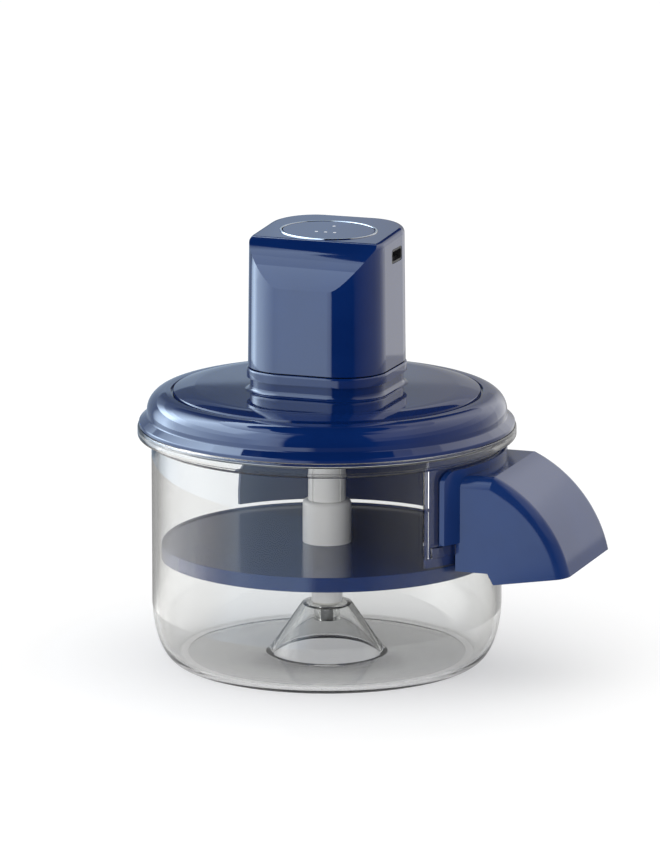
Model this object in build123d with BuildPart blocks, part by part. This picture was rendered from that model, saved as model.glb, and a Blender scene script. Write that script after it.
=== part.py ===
# Garlic peeler: a clear bowl with a side chute, a spinning peeling disc, a domed lid, and a
# rechargeable motor head that turns the disc through a planetary gearbox.
# The origin is on the bowl's axis, on the plane it stands on. The chute points along +X and the
# sloping front of the motor head looks along -Y.
from build123d import *
import math
import os

os.makedirs("parts", exist_ok=True)

# Fits that every piece shares
running_gap = 0.05  # radial gap of a shaft in its bearing
free_gap = 0.3  # gap between pieces that lift, slide or turn apart
slip_gap = 0.1  # gap round a fixed piece that drops into its pocket
overrun = 1.0  # how far a cut runs past the face it opens
quarter_turn = 90.0

# Bowl
bowl_height = 112.8
bowl_radius = 82.5
bowl_wall = 2.5
turn_width = 12.5  # how far the rounded foot draws in
turn_height = 29.2
foot_width = 4.0
foot_height = 1.0
floor_thickness = 2.2
rim_reach = 6.5  # how far the rim stands out past the wall
rim_wall = 2.7
rim_depth = 5.0
ledge_drop = 2.5
flare_radius = 3.0
rim_rounding = 0.9
cone_height = 26.7
cone_base_radius = 27.8
cone_top_radius = 11.7
cone_wall = 2.0
cone_foot_rounding = 3.0
pin_boss_wall = 3.0
pin_boss_depth = 8.7
pin_radius = 3.0
pin_headroom = 2.0
washer_thickness = 0.8
washer_width = 3.8

# Peeling disc and the hub that carries it
disc_gap = 2.0  # between the disc's edge and the bowl's wall
disc_top = 56.2
disc_depth = 6.0
disc_plate = 2.0
disc_rim_rise = 0.8
disc_rim_width = 1.6
disc_skirt = 1.8
disc_boss_depth = 12.0
disc_rib = 1.6
disc_rib_count = 6
hub_foot_radius = 7.3
hub_collar_radius = 11.5
hub_collar_height = 20.3
hub_collar_rounding = 2.0
hub_radius = 8.9
hub_headroom = 4.4  # from the hub's top to the underside of the lid
hub_groove_width = 1.2
hub_groove_depth = 0.8
hub_groove_angle = -27.6
socket_depth = 12.5
socket_web = 3.5
key_flats = 7.0  # across the flats of the hexagonal drive

# Chute and its place on the bowl
chute_half_width = 34.0
chute_wall = 2.2
chute_sill = 1.0  # the chute's floor lies this far under the disc's top
chute_headroom = 3.3  # from the top of the flange down to the top of the hood
chute_flat_length = 10.5  # from the bowl's wall to where the hood starts to curve down
chute_length = 47.2  # from the bowl's wall to the tip of the hood
chute_arc_radius = 63.5
chute_rounding = 5.7
mouth_setback = 11.5  # from the bowl's wall to the back of the mouth
mouth_step = 3.0
mouth_drop = 5.2
mouth_tip_rise = 0.7
flange_half_width = 43.0
flange_thickness = 2.0
flange_headroom = 1.3
flange_rounding = 6.0
tongue_inset = 4.0
tongue_wall = 1.8
window_margin = 1.0
window_rounding = 4.0
shelf_rise = 8.5  # from the chute's floor to the small shelf under the flange's wing
shelf_height = 4.8
shelf_proud = 2.0
shelf_start = 25.0
shelf_end = 35.0
rail_angle = 36.8
rail_width = 2.4
rail_proud = 1.2

# Liner that stands round the back of the peeling space
liner_gap = 0.4
liner_wall = 1.8
liner_rise = 2.3  # from the disc's top to the liner's lower edge
liner_lip_width = 1.4
liner_lip = 1.0
liner_start = -35.5
liner_end = 143.0
liner_window_margin = 1.5

# Lid
lid_rise = 18.1  # from the bowl's rim to the top of the lid
lid_wall = 2.5
lid_flange_inset = 0.7  # from the bowl's rim
lid_flange_height = 1.5
lid_slope_height = 2.7
lid_shoulder_inset = 3.7
lid_shoulder_rounding = 9.1
lid_shoulder_drop = 2.3
lid_shoulder_width = 12.6
lid_plateau_drop = 1.6
lid_crown_edge = 10.0  # width of the plateau's curved edge
lid_groove_width = 1.6
lid_groove_depth = 1.3
skirt_gap = 0.4
skirt_wall = 2.5
skirt_rise = 0.7  # from the bowl's ledge to the skirt's lower edge
gasket_width = 1.3
gasket_height = 1.4
lid_rib_count = 8
lid_rib = 1.6
lid_rib_depth = 2.4
lid_rib_start = 16.0
bush_radius = 6.5
bush_flange = 2.0
bush_flange_thickness = 1.5

# Collar on the lid and the motor head's rounded square
flat_half = 12.0  # half of the flat stretch of each side
head_half = 33.6
head_draft = 0.65
head_wall = 2.5
collar_height = 10.8
collar_lip_height = 4.5
collar_lip_proud = 0.6
collar_waist_inset = 1.0
collar_wall = 2.4
collar_rounding = 1.0
cove_radius = 2.4
seam_gap = 0.6
head_lean = 3.5
facet_radius = 34.3
facet_drop = 30.8  # from the top of the head to the axis of its rounded front
top_rounding = 2.6

# Base of the head
base_floor = 3.0
base_wall = 2.2
base_flange = 2.4
column_place = 19.5
column_radius = 3.0
column_web = 1.6
screw_radius = 1.2
screw_length = 12.0
screw_head_radius = 2.4
screw_head_height = 1.6

# Gearbox
gear_module = 0.6
sun_teeth = 18
planet_teeth = 18
ring_teeth = 54
planet_count = 3
pressure_angle = math.radians(20)
flank_gap = 0.03  # each flank stands back this far from the pitch line's half
gear_face = 8.0
ring_tip_share = 0.8  # of a full addendum, so that the ring's tips clear the planets' roots
root_share = 1.25
case_wall = 3.05
case_head = 0.8  # from the top of the gears to the motor plate
carrier_thickness = 3.0
carrier_edge = 1.2
planet_pin_radius = 1.5
pin_overreach = 0.4
shaft_radius = 4.05
shaft_bush_radius = 6.2
shaft_bush_flange = 1.6
shaft_bush_flange_height = 1.0
seal_height = 1.2
ear_radius = 3.4
ear_reach = 2.6  # from the case's outer wall to the centre of an ear
ear_start = 30.0
case_screw_radius = 1.25
case_screw_head_radius = 2.3
case_screw_head_height = 1.8
case_screw_grip = 2.0

# Motor
motor_plate_thickness = 2.3
motor_radius = 13.85
motor_length = 36.0
motor_skin = 1.0
motor_nose_radius = 3.5
motor_cap_thickness = 2.0
motor_cap_boss = 1.6
motor_shaft_radius = 1.15
armature_gap = 0.5
armature_length = 21.0
armature_slot = 2.2
armature_slot_depth = 5.5
armature_slot_count = 3
winding_reach = 2.5
magnet_thickness = 3.0
magnet_length = 25.0
magnet_half_angle = 62.0
terminal_width = 2.4
terminal_thickness = 0.5
terminal_height = 2.2
terminal_place = 8.6

# Cells, board and charging port
cell_radius = 9.15
cell_length = 35.0
cell_spread_angle = 51.0
cell_button_radius = 3.0
cell_button_height = 0.6
cup_wall = 1.0
cup_height = 8.0
cup_floor = 2.5
holder_lift = 0.5
spine_half_width = 6.0
spine_depth = 9.0
spine_skin = 1.6
board_gap = 3.4  # from the motor's end to the underside of the board
board_thickness = 1.6
board_front = -23.0
board_left = -24.0
board_side_gap = 3.0
button_room = 11.3  # from the board to the top of the head
port_place = 4.5
port_shell_height = 3.2
port_shell_width = 9.0
port_shell_skin = 0.35
port_length = 7.4
port_tongue = 0.7
port_tongue_inset = 1.6
bezel_width = 14.0
bezel_height = 6.6
bezel_rounding = 1.6
bezel_skin = 1.0
bezel_depth = 3.2
switch_half = 3.0
switch_height = 2.6
switch_plunger_radius = 1.6
switch_plunger_height = 0.9
switch_bore_depth = 2.0
board_screw_radius = 0.9
board_screw_length = 5.0
board_screw_head_radius = 1.9
board_screw_head_height = 1.3

# Button and its ring on top of the head
button_half_length = 22.2
button_half_width = 16.4
button_place = 2.2
button_skin = 1.6
button_proud = 0.25
button_travel = 1.0
button_flange = 1.5
button_flange_thickness = 1.3
button_stem_radius = 3.4
button_collar_radius = 5.6
button_collar_height = 1.5
ring_width = 1.0
ring_depth = 1.0
ring_proud = 0.4
light_radius = 0.8
light_pitch = 4.5
light_length = 1.4
light_front = 4.2  # from the button's middle to the row of three lights
light_back = 7.6
spring_radius = 4.8
spring_wire = 0.25
spring_turns = 4

# Heights and radii that follow from the sizes above
foot_radius = bowl_radius - turn_width
bowl_inner = bowl_radius - bowl_wall
floor_top = foot_height + floor_thickness
floor_seam = foot_radius - 2 * foot_width
cone_seam = cone_base_radius + cone_foot_rounding
rim_under = bowl_height - rim_depth
ledge_top = bowl_height - ledge_drop
rim_radius = bowl_radius + rim_reach
rim_inner = rim_radius - rim_wall

lid_low = bowl_height + free_gap
lid_top = bowl_height + lid_rise
lid_under = lid_top - lid_wall
lid_flange_radius = rim_radius - lid_flange_inset
lid_shoulder_radius = lid_flange_radius - lid_shoulder_inset
lid_plateau_radius = lid_shoulder_radius - lid_shoulder_width
lid_crown_radius = lid_plateau_radius - lid_crown_edge

disc_radius = bowl_inner - disc_gap
disc_low = disc_top - disc_depth
hub_low = cone_height + washer_thickness
hub_top = lid_under - hub_headroom
socket_floor = hub_top - socket_depth
hub_bore_top = socket_floor - socket_web

chute_low = disc_top - chute_sill
flange_top = rim_under - flare_radius - flange_headroom
chute_top = flange_top - chute_headroom
chute_flat_end = bowl_radius + chute_flat_length
chute_reach = bowl_radius + chute_length
mouth_back = bowl_radius + mouth_setback
flange_inner = bowl_radius + free_gap
flange_outer = flange_inner + flange_thickness
window_half = chute_half_width - tongue_inset
window_low = chute_low + window_margin
window_high = chute_top - window_margin
shelf_low = chute_low + shelf_rise
shelf_high = shelf_low + shelf_height

collar_top = lid_top + collar_height
collar_lip_half = head_half + collar_lip_proud
collar_waist_half = head_half - collar_waist_inset
socket_half = collar_waist_half - collar_wall
spigot_half = socket_half - free_gap
head_low = collar_top + seam_gap
head_inner_half = head_half - head_wall

base_low = lid_top + free_gap
base_top = base_low + base_floor
flange_plate_top = head_low + base_flange
carrier_low = base_top + shaft_bush_flange_height + free_gap
carrier_top = carrier_low + carrier_thickness
gears_low = carrier_top + free_gap
gears_high = gears_low + gear_face
case_top = gears_high + case_head
ring_pitch = gear_module * ring_teeth / 2
planet_pitch = gear_module * planet_teeth / 2
sun_pitch = gear_module * sun_teeth / 2
ring_root = ring_pitch + root_share * gear_module
ring_tip = ring_pitch - ring_tip_share * gear_module
planet_orbit = sun_pitch + planet_pitch
case_radius = ring_root + case_wall
ear_orbit = case_radius + ear_reach

motor_low = case_top + motor_plate_thickness
motor_end = motor_low + motor_length
motor_inner = motor_radius - motor_skin
motor_top = motor_end + motor_cap_thickness
magnet_inner = motor_inner - magnet_thickness
armature_radius = magnet_inner - armature_gap
armature_low = motor_low + (motor_length - armature_length) / 2

holder_low = motor_low + case_screw_head_height + holder_lift
holder_top = holder_low + cup_floor
board_low = motor_top + board_gap
board_top = board_low + board_thickness
head_top = board_top + button_room
head_height = head_top - head_low
head_draw = head_height * math.tan(math.radians(head_draft))
corner_radius = head_inner_half - head_draw - flat_half
cell_offset = corner_radius - cell_radius - running_gap - cup_wall - slip_gap
cell_x = flat_half + cell_offset * math.cos(math.radians(cell_spread_angle))
cell_y = flat_half + cell_offset * math.sin(math.radians(cell_spread_angle))
spine_front = motor_radius + free_gap
board_back = cell_y - cell_radius - free_gap
port_height = board_top + port_shell_height / 2
port_face = head_half - (port_height - head_low) * math.tan(math.radians(head_draft))
board_right = port_face - head_wall - board_side_gap
port_front = port_face - bezel_depth

facet_height = head_top - facet_drop
switch_top = board_top + switch_height + switch_plunger_height
button_stem_low = switch_top + free_gap
spring_top = head_top - head_wall - button_collar_height


def rounded_square(half):
    """The head's plan: a square with long round corners, its flats always equally wide."""
    RectangleRounded(2 * half, 2 * half, half - flat_half)


def tilted(depth):
    """A plane along the leaning top of the head, at a depth straight below it."""
    lean = math.radians(head_lean)
    normal = (0, -math.sin(lean), math.cos(lean))
    return Plane(origin=(0, 0, head_top - depth), x_dir=(1, 0, 0), z_dir=normal)


def polar(radius, angle):
    return (radius * math.cos(angle), radius * math.sin(angle))


def involute(angle):
    return math.tan(angle) - angle


def gear_plan(teeth, tip_radius, root_radius, side_gap, turned, mode=Mode.ADD):
    """Involute teeth, with the first tooth centred at the angle turned."""
    pitch_radius = gear_module * teeth / 2
    base_radius = pitch_radius * math.cos(pressure_angle)
    foot_of_flank = max(base_radius, root_radius)
    half_tooth = math.pi / (2 * teeth) - side_gap / pitch_radius + involute(pressure_angle)

    def half_angle(radius):
        return half_tooth - involute(math.acos(base_radius / radius))

    middle = (foot_of_flank + tip_radius) / 2
    foot_half = half_angle(foot_of_flank)
    middle_half = half_angle(middle)
    tip_half = half_angle(tip_radius)
    pitch_angle = 2 * math.pi / teeth
    with BuildLine() as outline:
        for tooth in range(teeth):
            centre = turned + tooth * pitch_angle
            rising_foot = polar(foot_of_flank, centre - foot_half)
            rising_tip = polar(tip_radius, centre - tip_half)
            falling_tip = polar(tip_radius, centre + tip_half)
            falling_foot = polar(foot_of_flank, centre + foot_half)
            next_start = centre + pitch_angle - foot_half
            root_end = polar(root_radius, centre + foot_half)
            root_next = polar(root_radius, next_start)
            ThreePointArc(rising_foot, polar(middle, centre - middle_half), rising_tip)
            ThreePointArc(rising_tip, polar(tip_radius, centre), falling_tip)
            ThreePointArc(falling_tip, polar(middle, centre + middle_half), falling_foot)
            if foot_of_flank > root_radius:
                Line(falling_foot, root_end)
                Line(root_next, polar(foot_of_flank, next_start))
            ThreePointArc(root_end, polar(root_radius, centre + pitch_angle / 2), root_next)
    make_face(outline.line, mode=mode)


# Bowl: one moulding from the foot ring to the rim, with a hollow cone in the middle of its floor,
# a window for the chute, and the rails and small shelves that the chute's flange meets
with BuildPart() as bowl_moulding:
    with BuildSketch(Plane.XZ) as section:
        with BuildLine():
            Line((foot_radius - foot_width, 0), (foot_radius, 0))
            EllipticalCenterArc(
                (foot_radius, turn_height),
                turn_width,
                turn_height,
                start_angle=-quarter_turn,
                arc_size=quarter_turn,
            )
            wall = Line((bowl_radius, turn_height), (bowl_radius, rim_under - flare_radius))
            flare = RadiusArc(wall @ 1, (bowl_radius + flare_radius, rim_under), -flare_radius)
            Polyline(
                flare @ 1,
                (rim_radius, rim_under),
                (rim_radius, bowl_height),
                (rim_inner, bowl_height),
                (rim_inner, ledge_top),
                (bowl_inner, ledge_top),
                (bowl_inner, turn_height),
            )
            EllipticalCenterArc(
                (foot_radius, turn_height),
                turn_width - bowl_wall,
                turn_height - floor_top,
                start_angle=-quarter_turn,
                arc_size=quarter_turn,
            )
            Polyline(
                (foot_radius, floor_top),
                (cone_base_radius, floor_top),
                (cone_top_radius, cone_height),
                (pin_radius, cone_height),
                (pin_radius, cone_height - pin_boss_depth),
                (pin_radius + pin_boss_wall, cone_height - pin_boss_depth),
                (pin_radius + pin_boss_wall, cone_height - cone_wall),
                (cone_top_radius - cone_wall, cone_height - cone_wall),
                (cone_base_radius - cone_wall, foot_height),
                (foot_radius - foot_width, foot_height),
                (foot_radius - foot_width, 0),
            )
        make_face()
        rim_corners = section.vertices().filter_by(lambda v: v.X > rim_inner - overrun)
        fillet(rim_corners.filter_by(lambda v: v.Y > ledge_top + rim_rounding), rim_rounding)
        low_rim = section.vertices().filter_by(lambda v: v.X > bowl_radius + 2 * flare_radius)
        fillet(low_rim.filter_by(lambda v: v.Y < ledge_top), rim_rounding)
        ledge = section.vertices().filter_by(lambda v: abs(v.X - bowl_inner) < rim_rounding)
        fillet(ledge.sort_by(Axis.Y)[-1], rim_rounding)
        foot = section.vertices().filter_by(lambda v: abs(v.X - cone_base_radius) < cone_wall / 2)
        fillet(foot.sort_by(Axis.Y)[-1], cone_foot_rounding)
    revolve(axis=Axis.Z)
    with BuildSketch(Plane.YZ):
        with Locations((0, (window_low + window_high) / 2)):
            RectangleRounded(2 * window_half, window_high - window_low, window_rounding)
    extrude(amount=bowl_radius + overrun, mode=Mode.SUBTRACT)
    with BuildSketch(Plane.XY.offset(shelf_low)):
        Circle(bowl_radius + shelf_proud)
        Circle(bowl_radius - bowl_wall / 2, mode=Mode.SUBTRACT)
        with BuildLine():
            far = 2 * bowl_radius
            low_edge = polar(far, math.radians(shelf_start))
            high_edge = polar(far, math.radians(shelf_end))
            Polyline((0, 0), low_edge, high_edge, (0, 0))
        make_face(mode=Mode.INTERSECT)
        mirror(about=Plane.XZ)
    extrude(amount=shelf_height)
    with BuildSketch(Plane.XY.offset(shelf_low)):
        with PolarLocations(bowl_radius, 2, start_angle=-rail_angle, angular_range=4 * rail_angle):
            Rectangle(2 * rail_proud, rail_width)
    extrude(amount=rim_under - flare_radius - shelf_low)

# The moulding is kept as four solids that meet: its wall, its rounded base, the flat floor, and the
# cone in the middle
with BuildPart() as bowl:
    add(bowl_moulding.part)
    split(bisect_by=Plane.XY.offset(turn_height), keep=Keep.TOP)
    with BuildSketch():
        Circle(floor_seam)
    extrude(amount=bowl_height, mode=Mode.SUBTRACT)
bowl.part.label = "bowl"
export_step(bowl.part, "parts/bowl.step")

with BuildPart() as bowl_base:
    add(bowl_moulding.part)
    split(bisect_by=Plane.XY.offset(turn_height), keep=Keep.BOTTOM)
    with BuildSketch():
        Circle(floor_seam)
    extrude(amount=turn_height, mode=Mode.SUBTRACT)
bowl_base.part.label = "bowl_base"
export_step(bowl_base.part, "parts/bowl_base.step")

with BuildPart() as bowl_floor:
    add(bowl_moulding.part)
    with BuildSketch():
        Circle(floor_seam)
        Circle(cone_seam, mode=Mode.SUBTRACT)
    extrude(amount=turn_height, mode=Mode.INTERSECT)
bowl_floor.part.label = "bowl_floor"
export_step(bowl_floor.part, "parts/bowl_floor.step")

with BuildPart() as bowl_cone:
    add(bowl_moulding.part)
    with BuildSketch():
        Circle(cone_seam)
    extrude(amount=bowl_height, mode=Mode.INTERSECT)
bowl_cone.part.label = "bowl_cone"
export_step(bowl_cone.part, "parts/bowl_cone.step")

# The steel pin that the hub turns on, pressed into the top of the cone, and its washer
with BuildPart() as spindle_pin:
    with BuildSketch(Plane.XY.offset(cone_height - pin_boss_depth)):
        Circle(pin_radius)
    extrude(amount=hub_bore_top - pin_headroom - cone_height + pin_boss_depth)
    chamfer(spindle_pin.edges().sort_by(Axis.Z)[-1], pin_radius / 5)
spindle_pin.part.label = "spindle_pin"
export_step(spindle_pin.part, "parts/spindle_pin.step")

with BuildPart() as thrust_washer:
    with BuildSketch(Plane.XY.offset(cone_height)):
        Circle(pin_radius + washer_width)
        Circle(pin_radius + running_gap, mode=Mode.SUBTRACT)
    extrude(amount=washer_thickness)
thrust_washer.part.label = "thrust_washer"
export_step(thrust_washer.part, "parts/thrust_washer.step")

# Liner: part of a drum, hung by its lip on the bowl's ledge, open where the chute begins
liner_outer = bowl_inner - liner_gap
liner_inner = liner_outer - liner_wall
liner_low = disc_top + liner_rise
liner_window_half = window_half + liner_window_margin
with BuildPart() as peeling_liner:
    with BuildSketch(Plane.XZ.rotated((0, 0, liner_start))):
        with BuildLine():
            Polyline(
                (liner_inner, liner_low),
                (liner_outer, liner_low),
                (liner_outer, ledge_top),
                (liner_outer + liner_lip_width + liner_gap, ledge_top),
                (liner_outer + liner_lip_width + liner_gap, ledge_top + liner_lip),
                (liner_inner, ledge_top + liner_lip),
                (liner_inner, liner_low),
            )
        make_face()
    revolve(axis=Axis.Z, revolution_arc=liner_end - liner_start)
    with BuildSketch(Plane.YZ):
        with Locations((0, window_high + liner_window_margin)):
            Rectangle(2 * liner_window_half, bowl_height, align=(Align.CENTER, Align.MAX))
    extrude(amount=bowl_radius, mode=Mode.SUBTRACT)
peeling_liner.part.label = "peeling_liner"
export_step(peeling_liner.part, "parts/peeling_liner.step")

# Chute: a curved hood, hollow from the bowl to its mouth, with a flange that follows the bowl's
# wall and a tongue that plugs into the window
arc_start = (chute_flat_end, chute_top)
arc_end = (chute_reach, chute_low + mouth_tip_rise)
with BuildPart() as flange_plate:
    with BuildSketch(Plane.YZ):
        with Locations((0, flange_top)):
            wing_height = flange_top - shelf_high - free_gap
            Rectangle(2 * flange_half_width, wing_height, align=(Align.CENTER, Align.MAX))
    extrude(amount=flange_outer + overrun)
    fillet(flange_plate.edges().filter_by(Axis.X).group_by(Axis.Z)[-1], flange_rounding)
    with BuildSketch(Plane.YZ):
        with Locations((0, chute_low)):
            stem_height = flange_top - chute_low
            Rectangle(2 * chute_half_width, stem_height, align=(Align.CENTER, Align.MIN))
    extrude(amount=flange_outer + overrun)
    with BuildSketch():
        Circle(flange_outer)
        Circle(flange_inner, mode=Mode.SUBTRACT)
    extrude(amount=bowl_height, mode=Mode.INTERSECT)

with BuildPart() as tongue:
    with BuildSketch(Plane.YZ):
        with Locations((0, (window_low + window_high) / 2)):
            RectangleRounded(
                2 * (window_half - free_gap),
                window_high - window_low - 2 * free_gap,
                window_rounding - free_gap,
            )
            RectangleRounded(
                2 * (window_half - free_gap - tongue_wall),
                window_high - window_low - 2 * free_gap - 2 * tongue_wall,
                window_rounding - free_gap - tongue_wall,
                mode=Mode.SUBTRACT,
            )
    extrude(amount=flange_outer)
    with BuildSketch():
        Circle(flange_outer)
        Circle(bowl_inner + free_gap, mode=Mode.SUBTRACT)
    extrude(amount=bowl_height, mode=Mode.INTERSECT)

with BuildPart() as chute_hood:
    with BuildSketch(Plane.XZ):
        with BuildLine():
            back = bowl_radius / 2
            Polyline((back, chute_low), (back, chute_top), arc_start)
            RadiusArc(arc_start, arc_end, chute_arc_radius)
            Polyline(
                arc_end,
                (mouth_back, chute_low - mouth_drop),
                (mouth_back - mouth_step, chute_low),
                (back, chute_low),
            )
        make_face()
    extrude(amount=chute_half_width, both=True)
    sides = chute_hood.faces().filter_by(Axis.Y).edges()
    crown_edges = sides.filter_by(lambda e: e.center().Z > chute_low + chute_wall)
    fillet(crown_edges.filter_by(lambda e: e.center().X > back), chute_rounding)
    low_faces = chute_hood.faces().filter_by(GeomType.PLANE).sort_by(Axis.Z)[:2]
    mouth = low_faces.sort_by(Axis.X)[-1]
    inlet = chute_hood.faces().sort_by(Axis.X)[0]
    offset(amount=-chute_wall, openings=[mouth, inlet])
    with BuildSketch():
        Circle(flange_inner)
    extrude(amount=bowl_height, mode=Mode.SUBTRACT)
    add(flange_plate.part)
    with BuildSketch(Plane.YZ):
        with Locations((0, (window_low + window_high) / 2)):
            RectangleRounded(
                2 * (window_half - free_gap),
                window_high - window_low - 2 * free_gap,
                window_rounding - free_gap,
            )
    extrude(amount=flange_outer + overrun, mode=Mode.SUBTRACT)
    add(tongue.part)
chute_hood.part.label = "chute_hood"
export_step(chute_hood.part, "parts/chute_hood.step")

# Peeling disc: a plate with a thin raised rim, a skirt, and ribs from its boss to the skirt
with BuildPart() as peeling_disc:
    with BuildSketch(Plane.XZ):
        plate_low = disc_top - disc_plate
        with BuildLine():
            Polyline(
                (hub_foot_radius, disc_top),
                (disc_radius - disc_rim_width, disc_top),
                (disc_radius - disc_rim_width, disc_top + disc_rim_rise),
                (disc_radius, disc_top + disc_rim_rise),
                (disc_radius, disc_low),
                (disc_radius - disc_skirt, disc_low),
                (disc_radius - disc_skirt, plate_low),
                (hub_collar_radius, plate_low),
                (hub_collar_radius, disc_top - disc_boss_depth),
                (hub_foot_radius, disc_top - disc_boss_depth),
                (hub_foot_radius, disc_top),
            )
        make_face()
    revolve(axis=Axis.Z)
    fillet(peeling_disc.edges().group_by(Axis.Z)[-1], disc_rim_rise / 2)
    with BuildSketch(Plane.XY.offset(disc_low + disc_plate / 2)):
        with PolarLocations(0, disc_rib_count):
            with Locations(((hub_collar_radius + disc_radius - disc_skirt) / 2, 0)):
                Rectangle(disc_radius - disc_skirt - hub_collar_radius + disc_rib / 2, disc_rib)
    extrude(amount=plate_low - disc_low - disc_plate / 2)
peeling_disc.part.label = "peeling_disc"
export_step(peeling_disc.part, "parts/peeling_disc.step")

# Hub: a foot on the washer, a collar on top of the disc, and a fluted upper tube whose end is a
# hexagonal socket for the motor head's drive shaft
key_radius = key_flats / 2 / math.cos(math.pi / 6)
socket_radius = (key_flats / 2 + free_gap) / math.cos(math.pi / 6)
with BuildPart() as drive_hub:
    with BuildSketch(Plane.XZ) as hub_section:
        with BuildLine():
            Polyline(
                (pin_radius + running_gap, hub_low),
                (hub_foot_radius, hub_low),
                (hub_foot_radius, disc_top),
                (hub_collar_radius, disc_top),
                (hub_collar_radius, disc_top + hub_collar_height),
                (hub_radius, disc_top + hub_collar_height),
                (hub_radius, hub_top),
                (0, hub_top),
                (0, hub_bore_top),
                (pin_radius + running_gap, hub_bore_top),
                (pin_radius + running_gap, hub_low),
            )
        make_face()
        shoulder = hub_section.vertices().filter_by(lambda v: v.X > hub_radius + running_gap)
        fillet(shoulder.sort_by(Axis.Y)[-1], hub_collar_rounding)
    revolve(axis=Axis.Z)
    with BuildSketch(Plane.XY.offset(socket_floor)):
        RegularPolygon(socket_radius, 6)
    extrude(amount=socket_depth + overrun, mode=Mode.SUBTRACT)
    with BuildSketch(Plane.XY.offset(disc_top + hub_collar_height)):
        with PolarLocations(hub_radius, 4, start_angle=hub_groove_angle):
            Rectangle(2 * hub_groove_depth, hub_groove_width)
    extrude(amount=hub_top - disc_top, mode=Mode.SUBTRACT)
drive_hub.part.label = "drive_hub"
export_step(drive_hub.part, "parts/drive_hub.step")

# Lid: one moulding with a flange, a shoulder and a grooved plateau, ribbed underneath, and the
# rounded square collar that takes the motor head
shoulder_top = lid_top - lid_shoulder_drop
shoulder_centre = (lid_shoulder_radius - lid_shoulder_rounding, shoulder_top - lid_shoulder_rounding)
plateau_edge = (lid_plateau_radius, lid_top - lid_plateau_drop)
groove_low = shoulder_top - lid_groove_depth
skirt_outer = rim_inner - skirt_gap
skirt_inner = skirt_outer - skirt_wall
skirt_low = ledge_top + skirt_rise
slope_top = lid_low + lid_flange_height + lid_slope_height
wall_inner = lid_shoulder_radius - lid_wall
gasket_inner = skirt_inner + (skirt_wall - gasket_width) / 2
gasket_low = ledge_top + free_gap
gasket_top = gasket_low + gasket_height
with BuildPart() as lid_moulding:
    with BuildSketch(Plane.XZ) as dome:
        with BuildLine():
            Polyline(
                (0, lid_under),
                (0, lid_top),
                (lid_crown_radius, lid_top),
            )
            TangentArc((lid_crown_radius, lid_top), plateau_edge, tangent=(1, 0))
            Polyline(
                plateau_edge,
                (lid_plateau_radius + lid_groove_depth / 3, groove_low),
                (lid_plateau_radius + lid_groove_width - lid_groove_depth / 3, groove_low),
                (lid_plateau_radius + lid_groove_width, shoulder_top),
                (shoulder_centre[0], shoulder_top),
            )
            CenterArc(shoulder_centre, lid_shoulder_rounding, 0, 90)
            Polyline(
                (lid_shoulder_radius, shoulder_centre[1]),
                (lid_shoulder_radius, slope_top),
                (lid_flange_radius, lid_low + lid_flange_height),
                (lid_flange_radius, lid_low),
                (skirt_outer, lid_low),
                (skirt_outer, skirt_low),
                (gasket_inner + gasket_width, skirt_low),
                (gasket_inner + gasket_width, gasket_top),
                (gasket_inner, gasket_top),
                (gasket_inner, skirt_low),
                (skirt_inner, skirt_low),
                (skirt_inner, lid_low - free_gap),
                (wall_inner, lid_low + lid_flange_height),
                (wall_inner, shoulder_centre[1]),
            )
            CenterArc(shoulder_centre, lid_shoulder_rounding - lid_wall, 0, 90)
            Polyline(
                (shoulder_centre[0], shoulder_top - lid_wall),
                (lid_plateau_radius - lid_wall, shoulder_top - lid_wall),
                (lid_crown_radius, lid_under),
                (0, lid_under),
            )
        make_face()
        slope = dome.vertices().filter_by(lambda v: v.X > lid_shoulder_radius - running_gap)
        fillet(slope.group_by(Axis.Y)[-2], lid_flange_height / 2)
        brim = dome.vertices().filter_by(lambda v: v.X > lid_flange_radius - running_gap)
        fillet(brim.sort_by(Axis.Y)[-1], lid_flange_height / 2)
    revolve(axis=Axis.Z)
    with BuildSketch(Plane.XY.offset(lid_under - lid_rib_depth)):
        with PolarLocations(0, lid_rib_count):
            with Locations(((lid_rib_start + lid_crown_radius) / 2, 0)):
                Rectangle(lid_crown_radius - lid_rib_start, lid_rib)
    extrude(amount=lid_rib_depth)
    with BuildSketch(Plane.XY.offset(lid_top)):
        rounded_square(collar_waist_half)
    extrude(amount=collar_height)
    with BuildSketch(Plane.XY.offset(collar_top - collar_lip_height)):
        rounded_square(collar_lip_half)
    extrude(amount=collar_lip_height)
    lip_edges = lid_moulding.faces().sort_by(Axis.Z)[-1].edges()
    fillet(lip_edges, collar_rounding)
    foot_edges = lid_moulding.edges().filter_by_position(Axis.Z, lid_top, lid_top)
    fillet(foot_edges.filter_by(lambda e: not e.is_closed), cove_radius)
    with BuildSketch(Plane.XY.offset(lid_top)):
        rounded_square(socket_half)
    extrude(amount=collar_height + overrun, mode=Mode.SUBTRACT)
    with BuildSketch(Plane.XY.offset(lid_under - overrun)):
        Circle(bush_radius)
    extrude(amount=lid_wall + 2 * overrun, mode=Mode.SUBTRACT)

# The moulding is kept as three solids that meet: the plateau, the shoulder with its flange outside
# the groove, and the collar
lid_seam = lid_plateau_radius + lid_groove_width / 2
with BuildPart() as lid:
    add(lid_moulding.part)
    split(bisect_by=Plane.XY.offset(lid_top), keep=Keep.BOTTOM)
    with BuildSketch():
        Circle(lid_seam)
    extrude(amount=lid_top, mode=Mode.INTERSECT)
lid.part.label = "lid"
export_step(lid.part, "parts/lid.step")

with BuildPart() as lid_shoulder:
    add(lid_moulding.part)
    split(bisect_by=Plane.XY.offset(lid_top), keep=Keep.BOTTOM)
    with BuildSketch():
        Circle(lid_seam)
    extrude(amount=lid_top, mode=Mode.SUBTRACT)
lid_shoulder.part.label = "lid_shoulder"
export_step(lid_shoulder.part, "parts/lid_shoulder.step")

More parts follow.
